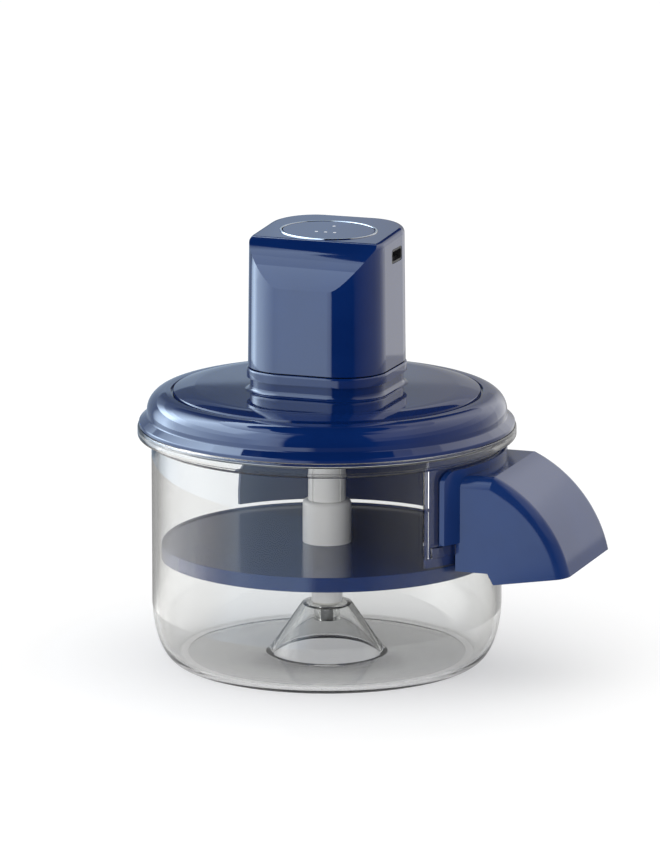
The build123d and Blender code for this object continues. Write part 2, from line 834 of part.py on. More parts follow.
with BuildPart() as lid_collar:
    add(lid_moulding.part)
    split(bisect_by=Plane.XY.offset(lid_top), keep=Keep.TOP)
lid_collar.part.label = "lid_collar"
export_step(lid_collar.part, "parts/lid_collar.step")

with BuildPart() as lid_gasket:
    with BuildSketch(Plane.XY.offset(gasket_low)):
        Circle(gasket_inner + gasket_width)
        Circle(gasket_inner, mode=Mode.SUBTRACT)
    extrude(amount=gasket_height)
lid_gasket.part.label = "lid_gasket"
export_step(lid_gasket.part, "parts/lid_gasket.step")

# Bush in the middle of the lid, which the drive shaft passes through with room to lift out
with BuildPart() as lid_bush:
    with BuildSketch(Plane.XY.offset(lid_under - bush_flange_thickness)):
        Circle(bush_radius + bush_flange)
    extrude(amount=bush_flange_thickness)
    with BuildSketch(Plane.XY.offset(lid_under)):
        Circle(bush_radius)
    extrude(amount=lid_wall)
    with BuildSketch(Plane.XY.offset(lid_top)):
        Circle(key_radius + free_gap)
    extrude(amount=-lid_wall - bush_flange_thickness, mode=Mode.SUBTRACT)
lid_bush.part.label = "lid_bush"
export_step(lid_bush.part, "parts/lid_bush.step")

# Motor housing: the head's outer form made hollow, with four screw columns on webs, the opening
# of the button and the window of the charging port
column_orbit = column_place * math.sqrt(2)
column_points = [(x * column_place, y * column_place) for x in (-1, 1) for y in (-1, 1)]
front_points = [(-column_place, -column_place), (column_place, -column_place)]
web_end = flat_half * math.sqrt(2) + head_inner_half - flat_half + head_wall / 2
web_low = flange_plate_top + slip_gap


def head_form(half, depth, front_radius):
    """The head's drawn form with its leaning top and its rounded front."""
    with BuildSketch(Plane.XY.offset(head_low)) as plan:
        rounded_square(half)
    extrude(plan.sketch, amount=head_height + head_wall, taper=head_draft)
    split(bisect_by=tilted(depth), keep=Keep.BOTTOM)
    with BuildSketch(Plane.YZ.offset(-head_half)) as front_cut:
        with Locations((0, facet_height)):
            Rectangle(2 * head_half, head_height, align=(Align.MAX, Align.MIN))
            Circle(front_radius, mode=Mode.SUBTRACT)
    extrude(front_cut.sketch, amount=2 * head_half, mode=Mode.SUBTRACT)


def oval_prism(depth, grown, amount, mode=Mode.ADD):
    """An upright oval prism down from a depth under the leaning top."""
    with BuildSketch(tilted(depth)) as oval:
        with Locations((0, button_place)):
            Ellipse(button_half_length + grown, button_half_width + grown)
    extrude(oval.sketch, amount=amount, dir=(0, 0, -1), mode=mode)


with BuildPart() as head_cavity:
    head_form(head_inner_half, head_wall, facet_radius - head_wall)

with BuildPart() as motor_housing:
    head_form(head_half, 0, facet_radius)
    crest = motor_housing.edges().filter_by(lambda e: e.center().Z > facet_height)
    fillet(crest.filter_by(lambda e: e.center().Z > head_top - head_wall), top_rounding)
    add(head_cavity.part, mode=Mode.SUBTRACT)
    with BuildSketch(Plane.XY.offset(base_top)):
        with Locations(*column_points):
            Circle(column_radius)
    extrude(amount=holder_low - base_top)
    with BuildSketch(Plane.XY.offset(holder_low)):
        with Locations(*front_points):
            Circle(column_radius)
    extrude(amount=board_low - holder_low)
    with BuildSketch(Plane.XY.offset(web_low)):
        with PolarLocations(0, 4, start_angle=45):
            with Locations((column_orbit, 0)):
                Rectangle(web_end - column_orbit, column_web, align=(Align.MIN, Align.CENTER))
    extrude(amount=holder_low - web_low)
    with BuildSketch(Plane.XY.offset(holder_low)):
        with PolarLocations(0, 2, start_angle=-135, angular_range=180):
            with Locations((column_orbit, 0)):
                Rectangle(web_end - column_orbit, column_web, align=(Align.MIN, Align.CENTER))
    extrude(amount=facet_height - holder_low)
    with BuildSketch(Plane.XY.offset(base_top)):
        with Locations(*column_points):
            Circle(screw_radius + running_gap)
    extrude(amount=screw_length, mode=Mode.SUBTRACT)
    with BuildSketch(Plane.XY.offset(board_low)):
        with Locations(*front_points):
            Circle(board_screw_radius + running_gap)
    extrude(amount=-board_screw_length, mode=Mode.SUBTRACT)
    oval_prism(-overrun, free_gap, head_wall + 2 * overrun, Mode.SUBTRACT)
    oval_prism(-overrun, free_gap + ring_width, ring_depth + overrun, Mode.SUBTRACT)
    with BuildSketch(Plane.YZ.offset(port_front - overrun)):
        with Locations((port_place, port_height)):
            RectangleRounded(
                bezel_width + 2 * slip_gap, bezel_height + 2 * slip_gap, bezel_rounding + slip_gap
            )
    extrude(amount=bezel_depth + 2 * overrun, mode=Mode.SUBTRACT)
motor_housing.part.label = "motor_housing"
export_step(motor_housing.part, "parts/motor_housing.step")

# Base of the head: a cup that drops into the lid's collar, with a flange inside the housing's
# lower edge, the bore of the drive shaft and the holes of its screws
screw_seat = base_low + free_gap + screw_head_height
ear_points = [
    polar(ear_orbit, math.radians(ear_start) + ear * 2 * math.pi / planet_count)
    for ear in range(planet_count)
]
with BuildPart() as base_plate:
    with BuildSketch(Plane.XY.offset(base_low)):
        rounded_square(spigot_half)
    extrude(amount=flange_plate_top - base_low)
    chamfer(base_plate.edges().group_by(Axis.Z)[0], base_floor / 4)
    with BuildSketch(Plane.XY.offset(head_low)):
        rounded_square(head_inner_half - slip_gap)
    extrude(amount=base_flange)
    with BuildSketch(Plane.XY.offset(base_top)):
        rounded_square(spigot_half - base_wall)
    extrude(amount=flange_plate_top - base_top + overrun, mode=Mode.SUBTRACT)
    with BuildSketch(Plane.XY.offset(base_low)):
        Circle(shaft_bush_radius)
        with Locations(*column_points):
            Circle(screw_radius + slip_gap)
    extrude(amount=base_floor, mode=Mode.SUBTRACT)
    with BuildSketch(Plane.XY.offset(base_low)):
        with Locations(*column_points):
            Circle(screw_head_radius + slip_gap)
    extrude(amount=screw_seat - base_low, mode=Mode.SUBTRACT)
    with BuildSketch(Plane.XY.offset(base_top)):
        with Locations(*ear_points):
            Circle(case_screw_radius + running_gap)
    extrude(amount=-case_screw_grip, mode=Mode.SUBTRACT)
base_plate.part.label = "base_plate"
export_step(base_plate.part, "parts/base_plate.step")


def cross_screw(seat, length, radius, head_radius, head_height, head_up):
    """A pan-head screw on the main axis, with a cross slot in its head."""
    rise = head_height if head_up else -head_height
    with BuildSketch(seat) as head_plan:
        Circle(head_radius)
    extrude(head_plan.sketch, amount=rise)
    with BuildSketch(seat) as shank_plan:
        Circle(radius)
    extrude(shank_plan.sketch, amount=-length if head_up else length)
    with BuildSketch(seat.offset(rise)) as cross:
        Rectangle(head_radius, radius / 2)
        Rectangle(radius / 2, head_radius)
    extrude(cross.sketch, amount=-rise / 2, mode=Mode.SUBTRACT)


with BuildPart() as base_screw:
    cross_screw(
        Plane.XY.offset(screw_seat), screw_length, screw_radius, screw_head_radius, screw_head_height, False
    )
with BuildPart() as base_screws:
    with Locations(*column_points):
        add(base_screw.part)
base_screws.part.label = "base_screws"
export_step(base_screws.part, "parts/base_screws.step")

with BuildPart() as shaft_seal:
    with BuildSketch(Plane.XY.offset(base_low)):
        Circle(shaft_bush_radius)
        Circle(shaft_radius + free_gap, mode=Mode.SUBTRACT)
    extrude(amount=seal_height)
shaft_seal.part.label = "shaft_seal"
export_step(shaft_seal.part, "parts/shaft_seal.step")

with BuildPart() as shaft_bush:
    with BuildSketch(Plane.XY.offset(base_low + seal_height)):
        Circle(shaft_bush_radius)
    extrude(amount=base_floor - seal_height)
    with BuildSketch(Plane.XY.offset(base_top)):
        Circle(shaft_bush_radius + shaft_bush_flange)
    extrude(amount=shaft_bush_flange_height)
    with BuildSketch(Plane.XY.offset(base_low)):
        Circle(shaft_radius + running_gap)
    extrude(amount=base_floor + shaft_bush_flange_height, mode=Mode.SUBTRACT)
shaft_bush.part.label = "shaft_bush"
export_step(shaft_bush.part, "parts/shaft_bush.step")

# Gearbox case: the ring gear, with a wider bore for the carrier below and three screw ears
with BuildPart() as gear_case:
    with BuildSketch(Plane.XY.offset(base_top)):
        Circle(case_radius)
        with Locations(*ear_points):
            Circle(ear_radius)
        Circle(ring_root + free_gap, mode=Mode.SUBTRACT)
        with Locations(*ear_points):
            Circle(case_screw_radius + slip_gap, mode=Mode.SUBTRACT)
    extrude(amount=case_top - base_top)
    with BuildSketch(Plane.XY.offset(gears_low)):
        Circle(case_radius - case_wall / 2)
        half_space = math.pi / ring_teeth
        gear_plan(ring_teeth, ring_root, ring_tip, -flank_gap, half_space, Mode.SUBTRACT)
    extrude(amount=case_top - gears_low)
gear_case.part.label = "gear_case"
export_step(gear_case.part, "parts/gear_case.step")

# Sun gear on the motor's shaft, and the three planets between it and the ring. Each planet is
# the first one turned about the main axis, so that all of them mesh alike.
with BuildPart() as sun_gear:
    with BuildSketch(Plane.XY.offset(gears_low)):
        sun_root = sun_pitch - root_share * gear_module
        gear_plan(sun_teeth, sun_pitch + gear_module, sun_root, flank_gap, 0)
        Circle(motor_shaft_radius, mode=Mode.SUBTRACT)
    extrude(amount=gear_face)
sun_gear.part.label = "sun_gear"
export_step(sun_gear.part, "parts/sun_gear.step")

with BuildPart() as first_planet:
    with BuildSketch(Plane(origin=(planet_orbit, 0, gears_low))):
        planet_root = planet_pitch - root_share * gear_module
        half_pitch = math.pi / planet_teeth
        gear_plan(planet_teeth, planet_pitch + gear_module, planet_root, flank_gap, half_pitch)
        Circle(planet_pin_radius + running_gap, mode=Mode.SUBTRACT)
    extrude(amount=gear_face)

for planet in range(planet_count):
    with BuildPart() as planet_gear:
        with PolarLocations(0, 1, start_angle=planet * 360 / planet_count):
            add(first_planet.part)
    planet_name = f"planet_gear_{planet + 1}"
    planet_gear.part.label = planet_name
    export_step(planet_gear.part, f"parts/{planet_name}.step")

# Carrier: a plate with the pins' holes, a round shaft through the bush, and a hexagonal key that
# reaches down into the hub's socket
key_low = socket_floor + free_gap
with BuildPart() as planet_carrier:
    with BuildSketch(Plane.XY.offset(carrier_low)):
        Circle(ring_root - carrier_edge)
        with PolarLocations(planet_orbit, planet_count):
            Circle(planet_pin_radius, mode=Mode.SUBTRACT)
    extrude(amount=carrier_thickness)
    with BuildSketch(Plane.XY.offset(base_low)):
        Circle(shaft_radius)
    extrude(amount=carrier_low - base_low)
    with BuildSketch(Plane.XY.offset(key_low)):
        RegularPolygon(key_radius, 6)
    extrude(amount=base_low - key_low)
    chamfer(planet_carrier.faces().sort_by(Axis.Z)[0].edges(), key_flats / 8)
planet_carrier.part.label = "planet_carrier"
export_step(planet_carrier.part, "parts/planet_carrier.step")

with BuildPart() as planet_pins:
    with BuildSketch(Plane.XY.offset(carrier_low)):
        with PolarLocations(planet_orbit, planet_count):
            Circle(planet_pin_radius)
    extrude(amount=gears_high + pin_overreach - carrier_low)
    chamfer(planet_pins.edges().group_by(Axis.Z)[-1], pin_overreach)
planet_pins.part.label = "planet_pins"
export_step(planet_pins.part, "parts/planet_pins.step")

# Plate that closes the gearbox and carries the motor by its nose
with BuildPart() as motor_plate:
    with BuildSketch(Plane.XY.offset(case_top)):
        Circle(case_radius)
        with Locations(*ear_points):
            Circle(ear_radius)
        with Locations(*ear_points):
            Circle(case_screw_radius + slip_gap, mode=Mode.SUBTRACT)
        Circle(motor_nose_radius, mode=Mode.SUBTRACT)
    extrude(amount=motor_plate_thickness)
motor_plate.part.label = "motor_plate"
export_step(motor_plate.part, "parts/motor_plate.step")

with BuildPart() as case_screw:
    cross_screw(
        Plane.XY.offset(motor_low),
        motor_low - base_top + case_screw_grip,
        case_screw_radius,
        case_screw_head_radius,
        case_screw_head_height,
        True,
    )
with BuildPart() as case_screws:
    with Locations(*ear_points):
        add(case_screw.part)
case_screws.part.label = "case_screws"
export_step(case_screws.part, "parts/case_screws.step")

# Motor: a can with its nose in the plate, two magnets, a wound core on the shaft, and an end cap
# with the upper bearing and two terminals
shaft_bore = motor_shaft_radius + running_gap
with BuildPart() as motor_can:
    with BuildSketch(Plane.XZ):
        with BuildLine():
            Polyline(
                (shaft_bore, case_top),
                (motor_nose_radius, case_top),
                (motor_nose_radius, motor_low),
                (motor_radius, motor_low),
                (motor_radius, motor_end),
                (motor_inner, motor_end),
                (motor_inner, motor_low + motor_skin),
                (shaft_bore, motor_low + motor_skin),
                (shaft_bore, case_top),
            )
        make_face()
    revolve(axis=Axis.Z)
    can_foot = motor_can.edges().filter_by_position(Axis.Z, motor_low, motor_low)
    fillet(can_foot.sort_by(SortBy.LENGTH)[-1], motor_skin / 2)
motor_can.part.label = "motor_can"
export_step(motor_can.part, "parts/motor_can.step")

with BuildPart() as magnets:
    with BuildSketch(Plane.XZ.rotated((0, 0, -magnet_half_angle))):
        with Locations((magnet_inner, motor_low + (motor_length - magnet_length) / 2)):
            Rectangle(magnet_thickness, magnet_length, align=(Align.MIN, Align.MIN))
    revolve(axis=Axis.Z, revolution_arc=2 * magnet_half_angle)
    mirror(about=Plane.YZ)
magnets.part.label = "magnets"
export_step(magnets.part, "parts/magnets.step")

cap_bore_top = motor_top + motor_cap_boss / 2
with BuildPart() as motor_cap:
    with BuildSketch(Plane.XY.offset(motor_end)):
        Circle(motor_radius)
    extrude(amount=motor_cap_thickness)
    fillet(motor_cap.edges().group_by(Axis.Z)[-1], motor_cap_thickness / 3)
    with BuildSketch(Plane.XY.offset(motor_top)):
        Circle(motor_nose_radius)
    extrude(amount=motor_cap_boss)
    with BuildSketch(Plane.XY.offset(motor_top)):
        with Locations((terminal_place, 0), (-terminal_place, 0)):
            Rectangle(terminal_thickness, terminal_width)
    extrude(amount=terminal_height)
    with BuildSketch(Plane.XY.offset(motor_end)):
        Circle(shaft_bore)
    extrude(amount=cap_bore_top - motor_end, mode=Mode.SUBTRACT)
motor_cap.part.label = "motor_cap"
export_step(motor_cap.part, "parts/motor_cap.step")

with BuildPart() as motor_shaft:
    with BuildSketch(Plane.XY.offset(gears_low)):
        Circle(motor_shaft_radius)
    extrude(amount=cap_bore_top - free_gap - gears_low)
motor_shaft.part.label = "motor_shaft"
export_step(motor_shaft.part, "parts/motor_shaft.step")

with BuildPart() as armature:
    with BuildSketch(Plane.XY.offset(armature_low)):
        Circle(armature_radius)
        with PolarLocations(armature_radius, armature_slot_count):
            Rectangle(2 * armature_slot_depth, armature_slot, mode=Mode.SUBTRACT)
    extrude(amount=armature_length)
    with BuildSketch(Plane.XY.offset(armature_low - winding_reach)):
        Circle(armature_radius - armature_slot)
    extrude(amount=armature_length + 2 * winding_reach)
    fillet(armature.faces().sort_by(Axis.Z)[-1].edges(), winding_reach / 2)
    fillet(armature.faces().sort_by(Axis.Z)[0].edges(), winding_reach / 2)
    with BuildSketch(Plane.XY.offset(armature_low - winding_reach)):
        Circle(motor_shaft_radius)
    extrude(amount=armature_length + 2 * winding_reach, mode=Mode.SUBTRACT)
armature.part.label = "armature"
export_step(armature.part, "parts/armature.step")

# Holder of the two cells: a shelf on the rear columns with a cup for each cell, and a hollow
# spine behind the motor that carries the board
cup_radius = cell_radius + running_gap + cup_wall
cell_points = [(-cell_x, cell_y), (cell_x, cell_y)]
with BuildPart() as cell_holder:
    with BuildSketch(Plane.XY.offset(holder_low)):
        with Locations(*cell_points):
            Circle(cup_radius)
        with Locations((0, cell_y)):
            Rectangle(2 * cell_x, cup_radius)
        Circle(motor_radius + free_gap, mode=Mode.SUBTRACT)
    extrude(amount=cup_floor)
    with BuildSketch(Plane.XY.offset(holder_top)):
        with Locations(*cell_points):
            Circle(cup_radius)
            Circle(cup_radius - cup_wall, mode=Mode.SUBTRACT)
    extrude(amount=cup_height)
    with BuildSketch(Plane.XY.offset(holder_low)):
        with Locations((0, spine_front)):
            Rectangle(2 * spine_half_width, spine_depth, align=(Align.CENTER, Align.MIN))
    extrude(amount=board_low - holder_low)
    with BuildSketch(Plane.XY.offset(holder_top)):
        with Locations((0, spine_front + spine_skin)):
            Rectangle(
                2 * (spine_half_width - spine_skin),
                spine_depth - 2 * spine_skin,
                align=(Align.CENTER, Align.MIN),
            )
    extrude(amount=board_low - holder_top, mode=Mode.SUBTRACT)
cell_holder.part.label = "cell_holder"
export_step(cell_holder.part, "parts/cell_holder.step")

with BuildPart() as battery_cells:
    with BuildSketch(Plane.XY.offset(holder_top)):
        with Locations(*cell_points):
            Circle(cell_radius)
    extrude(amount=cell_length)
    fillet(battery_cells.edges(), cell_button_height)
    with BuildSketch(Plane.XY.offset(holder_top + cell_length)):
        with Locations(*cell_points):
            Circle(cell_button_radius)
    extrude(amount=cell_button_height)
battery_cells.part.label = "battery_cells"
export_step(battery_cells.part, "parts/battery_cells.step")

# Circuit board: wide in front, with a leg back to the spine, screwed to the front columns
with BuildPart() as circuit_board:
    with BuildSketch(Plane.XY.offset(board_low)) as board_plan:
        with Locations((board_left, board_front)):
            Rectangle(
                board_right - board_left, board_back - board_front, align=(Align.MIN, Align.MIN)
            )
        fillet(board_plan.vertices().group_by(Axis.Y)[0], column_radius)
        with Locations((0, 0)):
            Rectangle(
                2 * spine_half_width, spine_front + spine_depth, align=(Align.CENTER, Align.MIN)
            )
        with Locations(*front_points):
            Circle(board_screw_radius + slip_gap, mode=Mode.SUBTRACT)
    extrude(amount=board_thickness)
circuit_board.part.label = "circuit_board"
export_step(circuit_board.part, "parts/circuit_board.step")

with BuildPart() as board_screw:
    cross_screw(
        Plane.XY.offset(board_top),
        board_screw_length,
        board_screw_radius,
        board_screw_head_radius,
        board_screw_head_height,
        True,
    )
with BuildPart() as board_screws:
    with Locations(*front_points):
        add(board_screw.part)
board_screws.part.label = "board_screws"
export_step(board_screws.part, "parts/board_screws.step")

# Charging port on the board's right edge, and the bezel that lines the window round it
with BuildPart() as usb_port:
    with BuildSketch(Plane.YZ.offset(port_front)):
        with Locations((port_place, port_height)):
            RectangleRounded(port_shell_width, port_shell_height, port_shell_height / 3)
    extrude(amount=-port_length)
    with BuildSketch(Plane.YZ.offset(port_front)):
        with Locations((port_place, port_height)):
            RectangleRounded(
                port_shell_width - 2 * port_shell_skin,
                port_shell_height - 2 * port_shell_skin,
                port_shell_height / 3 - port_shell_skin,
            )
    extrude(amount=-port_length + port_tongue, mode=Mode.SUBTRACT)
    with BuildSketch(Plane.YZ.offset(port_front - port_length)):
        with Locations((port_place, port_height)):
            Rectangle(port_shell_width - 2 * port_tongue_inset, port_tongue)
    extrude(amount=port_length - port_tongue)
usb_port.part.label = "usb_port"
export_step(usb_port.part, "parts/usb_port.step")

with BuildPart() as port_bezel:
    with BuildSketch(Plane.YZ.offset(port_front)):
        with Locations((port_place, port_height)):
            RectangleRounded(bezel_width, bezel_height, bezel_rounding)
    extrude(amount=bezel_depth - slip_gap)
    with BuildSketch(Plane.YZ.offset(port_front + bezel_skin)):
        with Locations((port_place, port_height)):
            RectangleRounded(
                bezel_width - 2 * bezel_skin, bezel_height - 2 * bezel_skin, bezel_rounding - bezel_skin / 2
            )
    extrude(amount=bezel_depth, mode=Mode.SUBTRACT)
    with BuildSketch(Plane.YZ.offset(port_front)):
        with Locations((port_place, port_height)):
            RectangleRounded(
                port_shell_width + 2 * slip_gap, port_shell_height + 2 * slip_gap, port_shell_height / 3
            )
    extrude(amount=bezel_skin, mode=Mode.SUBTRACT)
port_bezel.part.label = "port_bezel"
export_step(port_bezel.part, "parts/port_bezel.step")

# Switch under the button: its plunger hangs a little under the stem and slides in its body
with BuildPart() as tact_switch:
    with BuildSketch(Plane.XY.offset(board_top)):
        with Locations((0, button_place)):
            Rectangle(2 * switch_half, 2 * switch_half)
    extrude(amount=switch_height)
    fillet(tact_switch.edges().filter_by(Axis.Z), switch_plunger_radius / 3)
    with BuildSketch(Plane.XY.offset(board_top + switch_height)):
        with Locations((0, button_place)):
            Circle(switch_plunger_radius + running_gap)
    extrude(amount=-switch_bore_depth, mode=Mode.SUBTRACT)
tact_switch.part.label = "tact_switch"
export_step(tact_switch.part, "parts/tact_switch.step")

with BuildPart() as switch_plunger:
    plunger_length = switch_bore_depth - button_travel - slip_gap + switch_plunger_height
    with BuildSketch(Plane.XY.offset(switch_top)):
        with Locations((0, button_place)):
            Circle(switch_plunger_radius)
    extrude(amount=-plunger_length)
    chamfer(switch_plunger.edges().group_by(Axis.Z)[-1], switch_plunger_height / 3)
switch_plunger.part.label = "switch_plunger"
export_step(switch_plunger.part, "parts/switch_plunger.step")

# Small lights let into the button, three in a row in front and one behind
light_points = [(place * light_pitch, button_place - light_front) for place in (-1, 0, 1)]
light_points.append((0, button_place + light_back))

# Button: an oval cap with a flange under the housing's top, and a stem with the spring's collar
flange_depth = head_wall + free_gap
with BuildPart() as top_button:
    oval_prism(-button_proud, 0, button_proud + flange_depth + button_flange_thickness)
    fillet(top_button.faces().sort_by(Axis.Z)[-1].edges(), button_proud)
    oval_prism(flange_depth, button_flange, button_flange_thickness)
    oval_prism(button_skin - button_proud, -button_skin, head_height, Mode.SUBTRACT)
    with BuildSketch(Plane.XY.offset(button_stem_low)):
        with Locations((0, button_place)):
            Circle(button_stem_radius)
    extrude(amount=head_top - button_skin / 2 - button_stem_low)
    with BuildSketch(Plane.XY.offset(spring_top)):
        with Locations((0, button_place)):
            Circle(button_collar_radius)
    extrude(amount=button_collar_height)
    with BuildSketch(tilted(-button_proud)):
        with Locations(*light_points):
            Circle(light_radius)
    extrude(amount=light_length, dir=(0, 0, -1), mode=Mode.SUBTRACT)
top_button.part.label = "top_button"
export_step(top_button.part, "parts/top_button.step")

with BuildPart() as indicator_lights:
    with BuildSketch(tilted(-button_proud)):
        with Locations(*light_points):
            Circle(light_radius)
    extrude(amount=light_length, dir=(0, 0, -1))
indicator_lights.part.label = "indicator_lights"
export_step(indicator_lights.part, "parts/indicator_lights.step")

with BuildPart() as panel_ring:
    oval_prism(-ring_proud, free_gap + ring_width, ring_depth + ring_proud)
    oval_prism(-ring_proud - overrun, free_gap, head_wall + 2 * overrun, Mode.SUBTRACT)
    fillet(panel_ring.faces().sort_by(Axis.Z)[-1].edges(), ring_proud / 2)
panel_ring.part.label = "panel_ring"
export_step(panel_ring.part, "parts/panel_ring.step")

# Coil spring round the switch, from the board to the collar of the button's stem
spring_height = spring_top - board_top - 2 * spring_wire
with BuildPart() as button_spring:
    with BuildLine() as coil:
        Helix(
            pitch=spring_height / spring_turns,
            height=spring_height,
            radius=spring_radius,
            center=(0, button_place, board_top + spring_wire),
        )
    with BuildSketch(Plane(origin=coil.line @ 0, z_dir=coil.line % 0)):
        Circle(spring_wire)
    sweep(is_frenet=True)
button_spring.part.label = "button_spring"
export_step(button_spring.part, "parts/button_spring.step")
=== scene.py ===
import math

import bpy
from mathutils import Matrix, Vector


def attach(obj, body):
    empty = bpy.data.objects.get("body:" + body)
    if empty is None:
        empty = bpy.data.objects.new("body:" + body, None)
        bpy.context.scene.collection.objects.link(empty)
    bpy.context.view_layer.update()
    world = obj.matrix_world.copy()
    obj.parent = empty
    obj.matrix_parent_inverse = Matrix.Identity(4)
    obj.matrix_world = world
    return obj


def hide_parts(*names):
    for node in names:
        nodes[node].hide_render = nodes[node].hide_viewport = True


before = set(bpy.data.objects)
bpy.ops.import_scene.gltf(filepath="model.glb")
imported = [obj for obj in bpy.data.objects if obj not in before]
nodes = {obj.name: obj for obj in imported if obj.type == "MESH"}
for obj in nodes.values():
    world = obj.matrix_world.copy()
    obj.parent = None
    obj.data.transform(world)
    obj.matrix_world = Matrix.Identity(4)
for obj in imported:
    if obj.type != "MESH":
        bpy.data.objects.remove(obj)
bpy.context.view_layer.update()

# Peeling machine: a clear bowl with a turning disc, a domed lid, a side chute and a small motor head.
print("frame loaded:", len(nodes), "parts")


def addObject(name, data):
    obj = bpy.data.objects.new(name, data)
    bpy.context.scene.collection.objects.link(obj)
    return obj


def direction(azimuth, elevation):
    # Azimuth runs from the front towards the right, in degrees.
    turn, rise = math.radians(azimuth), math.radians(elevation)
    return Vector((math.sin(turn) * math.cos(rise), -math.cos(turn) * math.cos(rise), math.sin(rise)))


# Camera, from the front right and a little above; its shift is in pixels of the picture's height.
viewpoint = {
    "target": (0, 0, 0.1), "azimuth": 20, "elevation": 12.6, "distance": 3.0, "lens": 269.7,
    "shift": (3, 23.5), "pictureHeight": 852,
}


def placeCamera(settings):
    lens = bpy.data.cameras.new("studioLens")
    lens.lens = settings["lens"]
    lens.shift_x, lens.shift_y = (pixels / settings["pictureHeight"] for pixels in settings["shift"])
    back = direction(settings["azimuth"], settings["elevation"])
    camera = addObject("studioCamera", lens)
    camera.location = Vector(settings["target"]) + back * settings["distance"]
    camera.rotation_euler = back.to_track_quat("Z", "Y").to_euler()
    bpy.context.scene.camera = camera


placeCamera(viewpoint)
bpy.context.scene.view_settings.view_transform = "Standard"
print("camera placed")


# Node helpers shared by every finish: an input is given a number, a colour or another node's output.
def newMaterial(name):
    material = bpy.data.materials.new(name)
    material.use_nodes = True
    tree = material.node_tree
    return material, tree, tree.nodes["Principled BSDF"]


def feed(tree, socket, value):
    if isinstance(value, bpy.types.NodeSocket):
        tree.links.new(value, socket)
    else:
        socket.default_value = value


def addNode(tree, kind, inputs=None, **settings):
    node = tree.nodes.new(kind)
    for name, value in settings.items():
        setattr(node, name, value)
    for name, value in (inputs or {}).items():
        feed(tree, node.inputs[name], value)
    return node


def addMath(tree, operation, first, second, **settings):
    return addNode(tree, "ShaderNodeMath", {0: first, 1: second}, operation=operation, **settings).outputs[0]


def objectCoordinates(tree):
    return addNode(tree, "ShaderNodeTexCoord").outputs["Object"]


def addNoise(tree, place, scale, detail=3, roughness=0.5):
    inputs = {"Vector": place, "Scale": scale, "Detail": detail, "Roughness": roughness}
    return addNode(tree, "ShaderNodeTexNoise", inputs).outputs["Fac"]


noiseSpan = {"value": (0.3, 0.7), "tone": (0.35, 0.65)}  # the middle part of the noise, where most of it lies


def spread(tree, source, low, high):
    least, most = noiseSpan["value"]
    inputs = {"Value": source, "From Min": least, "From Max": most, "To Min": low, "To Max": high}
    return addNode(tree, "ShaderNodeMapRange", inputs).outputs["Result"]


def tintBetween(tree, source, *tones):
    ramp = addNode(tree, "ShaderNodeValToRGB", {"Fac": source})
    for stop, position, tone in zip(ramp.color_ramp.elements, noiseSpan["tone"], tones):
        stop.position = position
        stop.color = (*tone, 1)
    return ramp.outputs["Color"]


def addGrain(tree, shader, place, grain, detail):
    scale, strength, depth = grain
    height = addNoise(tree, place, scale, detail)
    bump = addNode(tree, "ShaderNodeBump", {"Height": height, "Strength": strength, "Distance": depth})
    tree.links.new(bump.outputs["Normal"], shader.inputs["Normal"])


def mixShaders(tree, factor, first, second):
    inputs = {"Fac": factor, 1: first.outputs[0], 2: second.outputs[0]}
    return addNode(tree, "ShaderNodeMixShader", inputs).outputs[0]


def showSurface(tree, surface):
    tree.links.new(surface, tree.nodes["Material Output"].inputs["Surface"])


def eitherRay(tree, first, second):
    # 1 for a ray of either kind.
    light = addNode(tree, "ShaderNodeLightPath")
    return addMath(tree, "MAXIMUM", light.outputs[first], light.outputs[second])


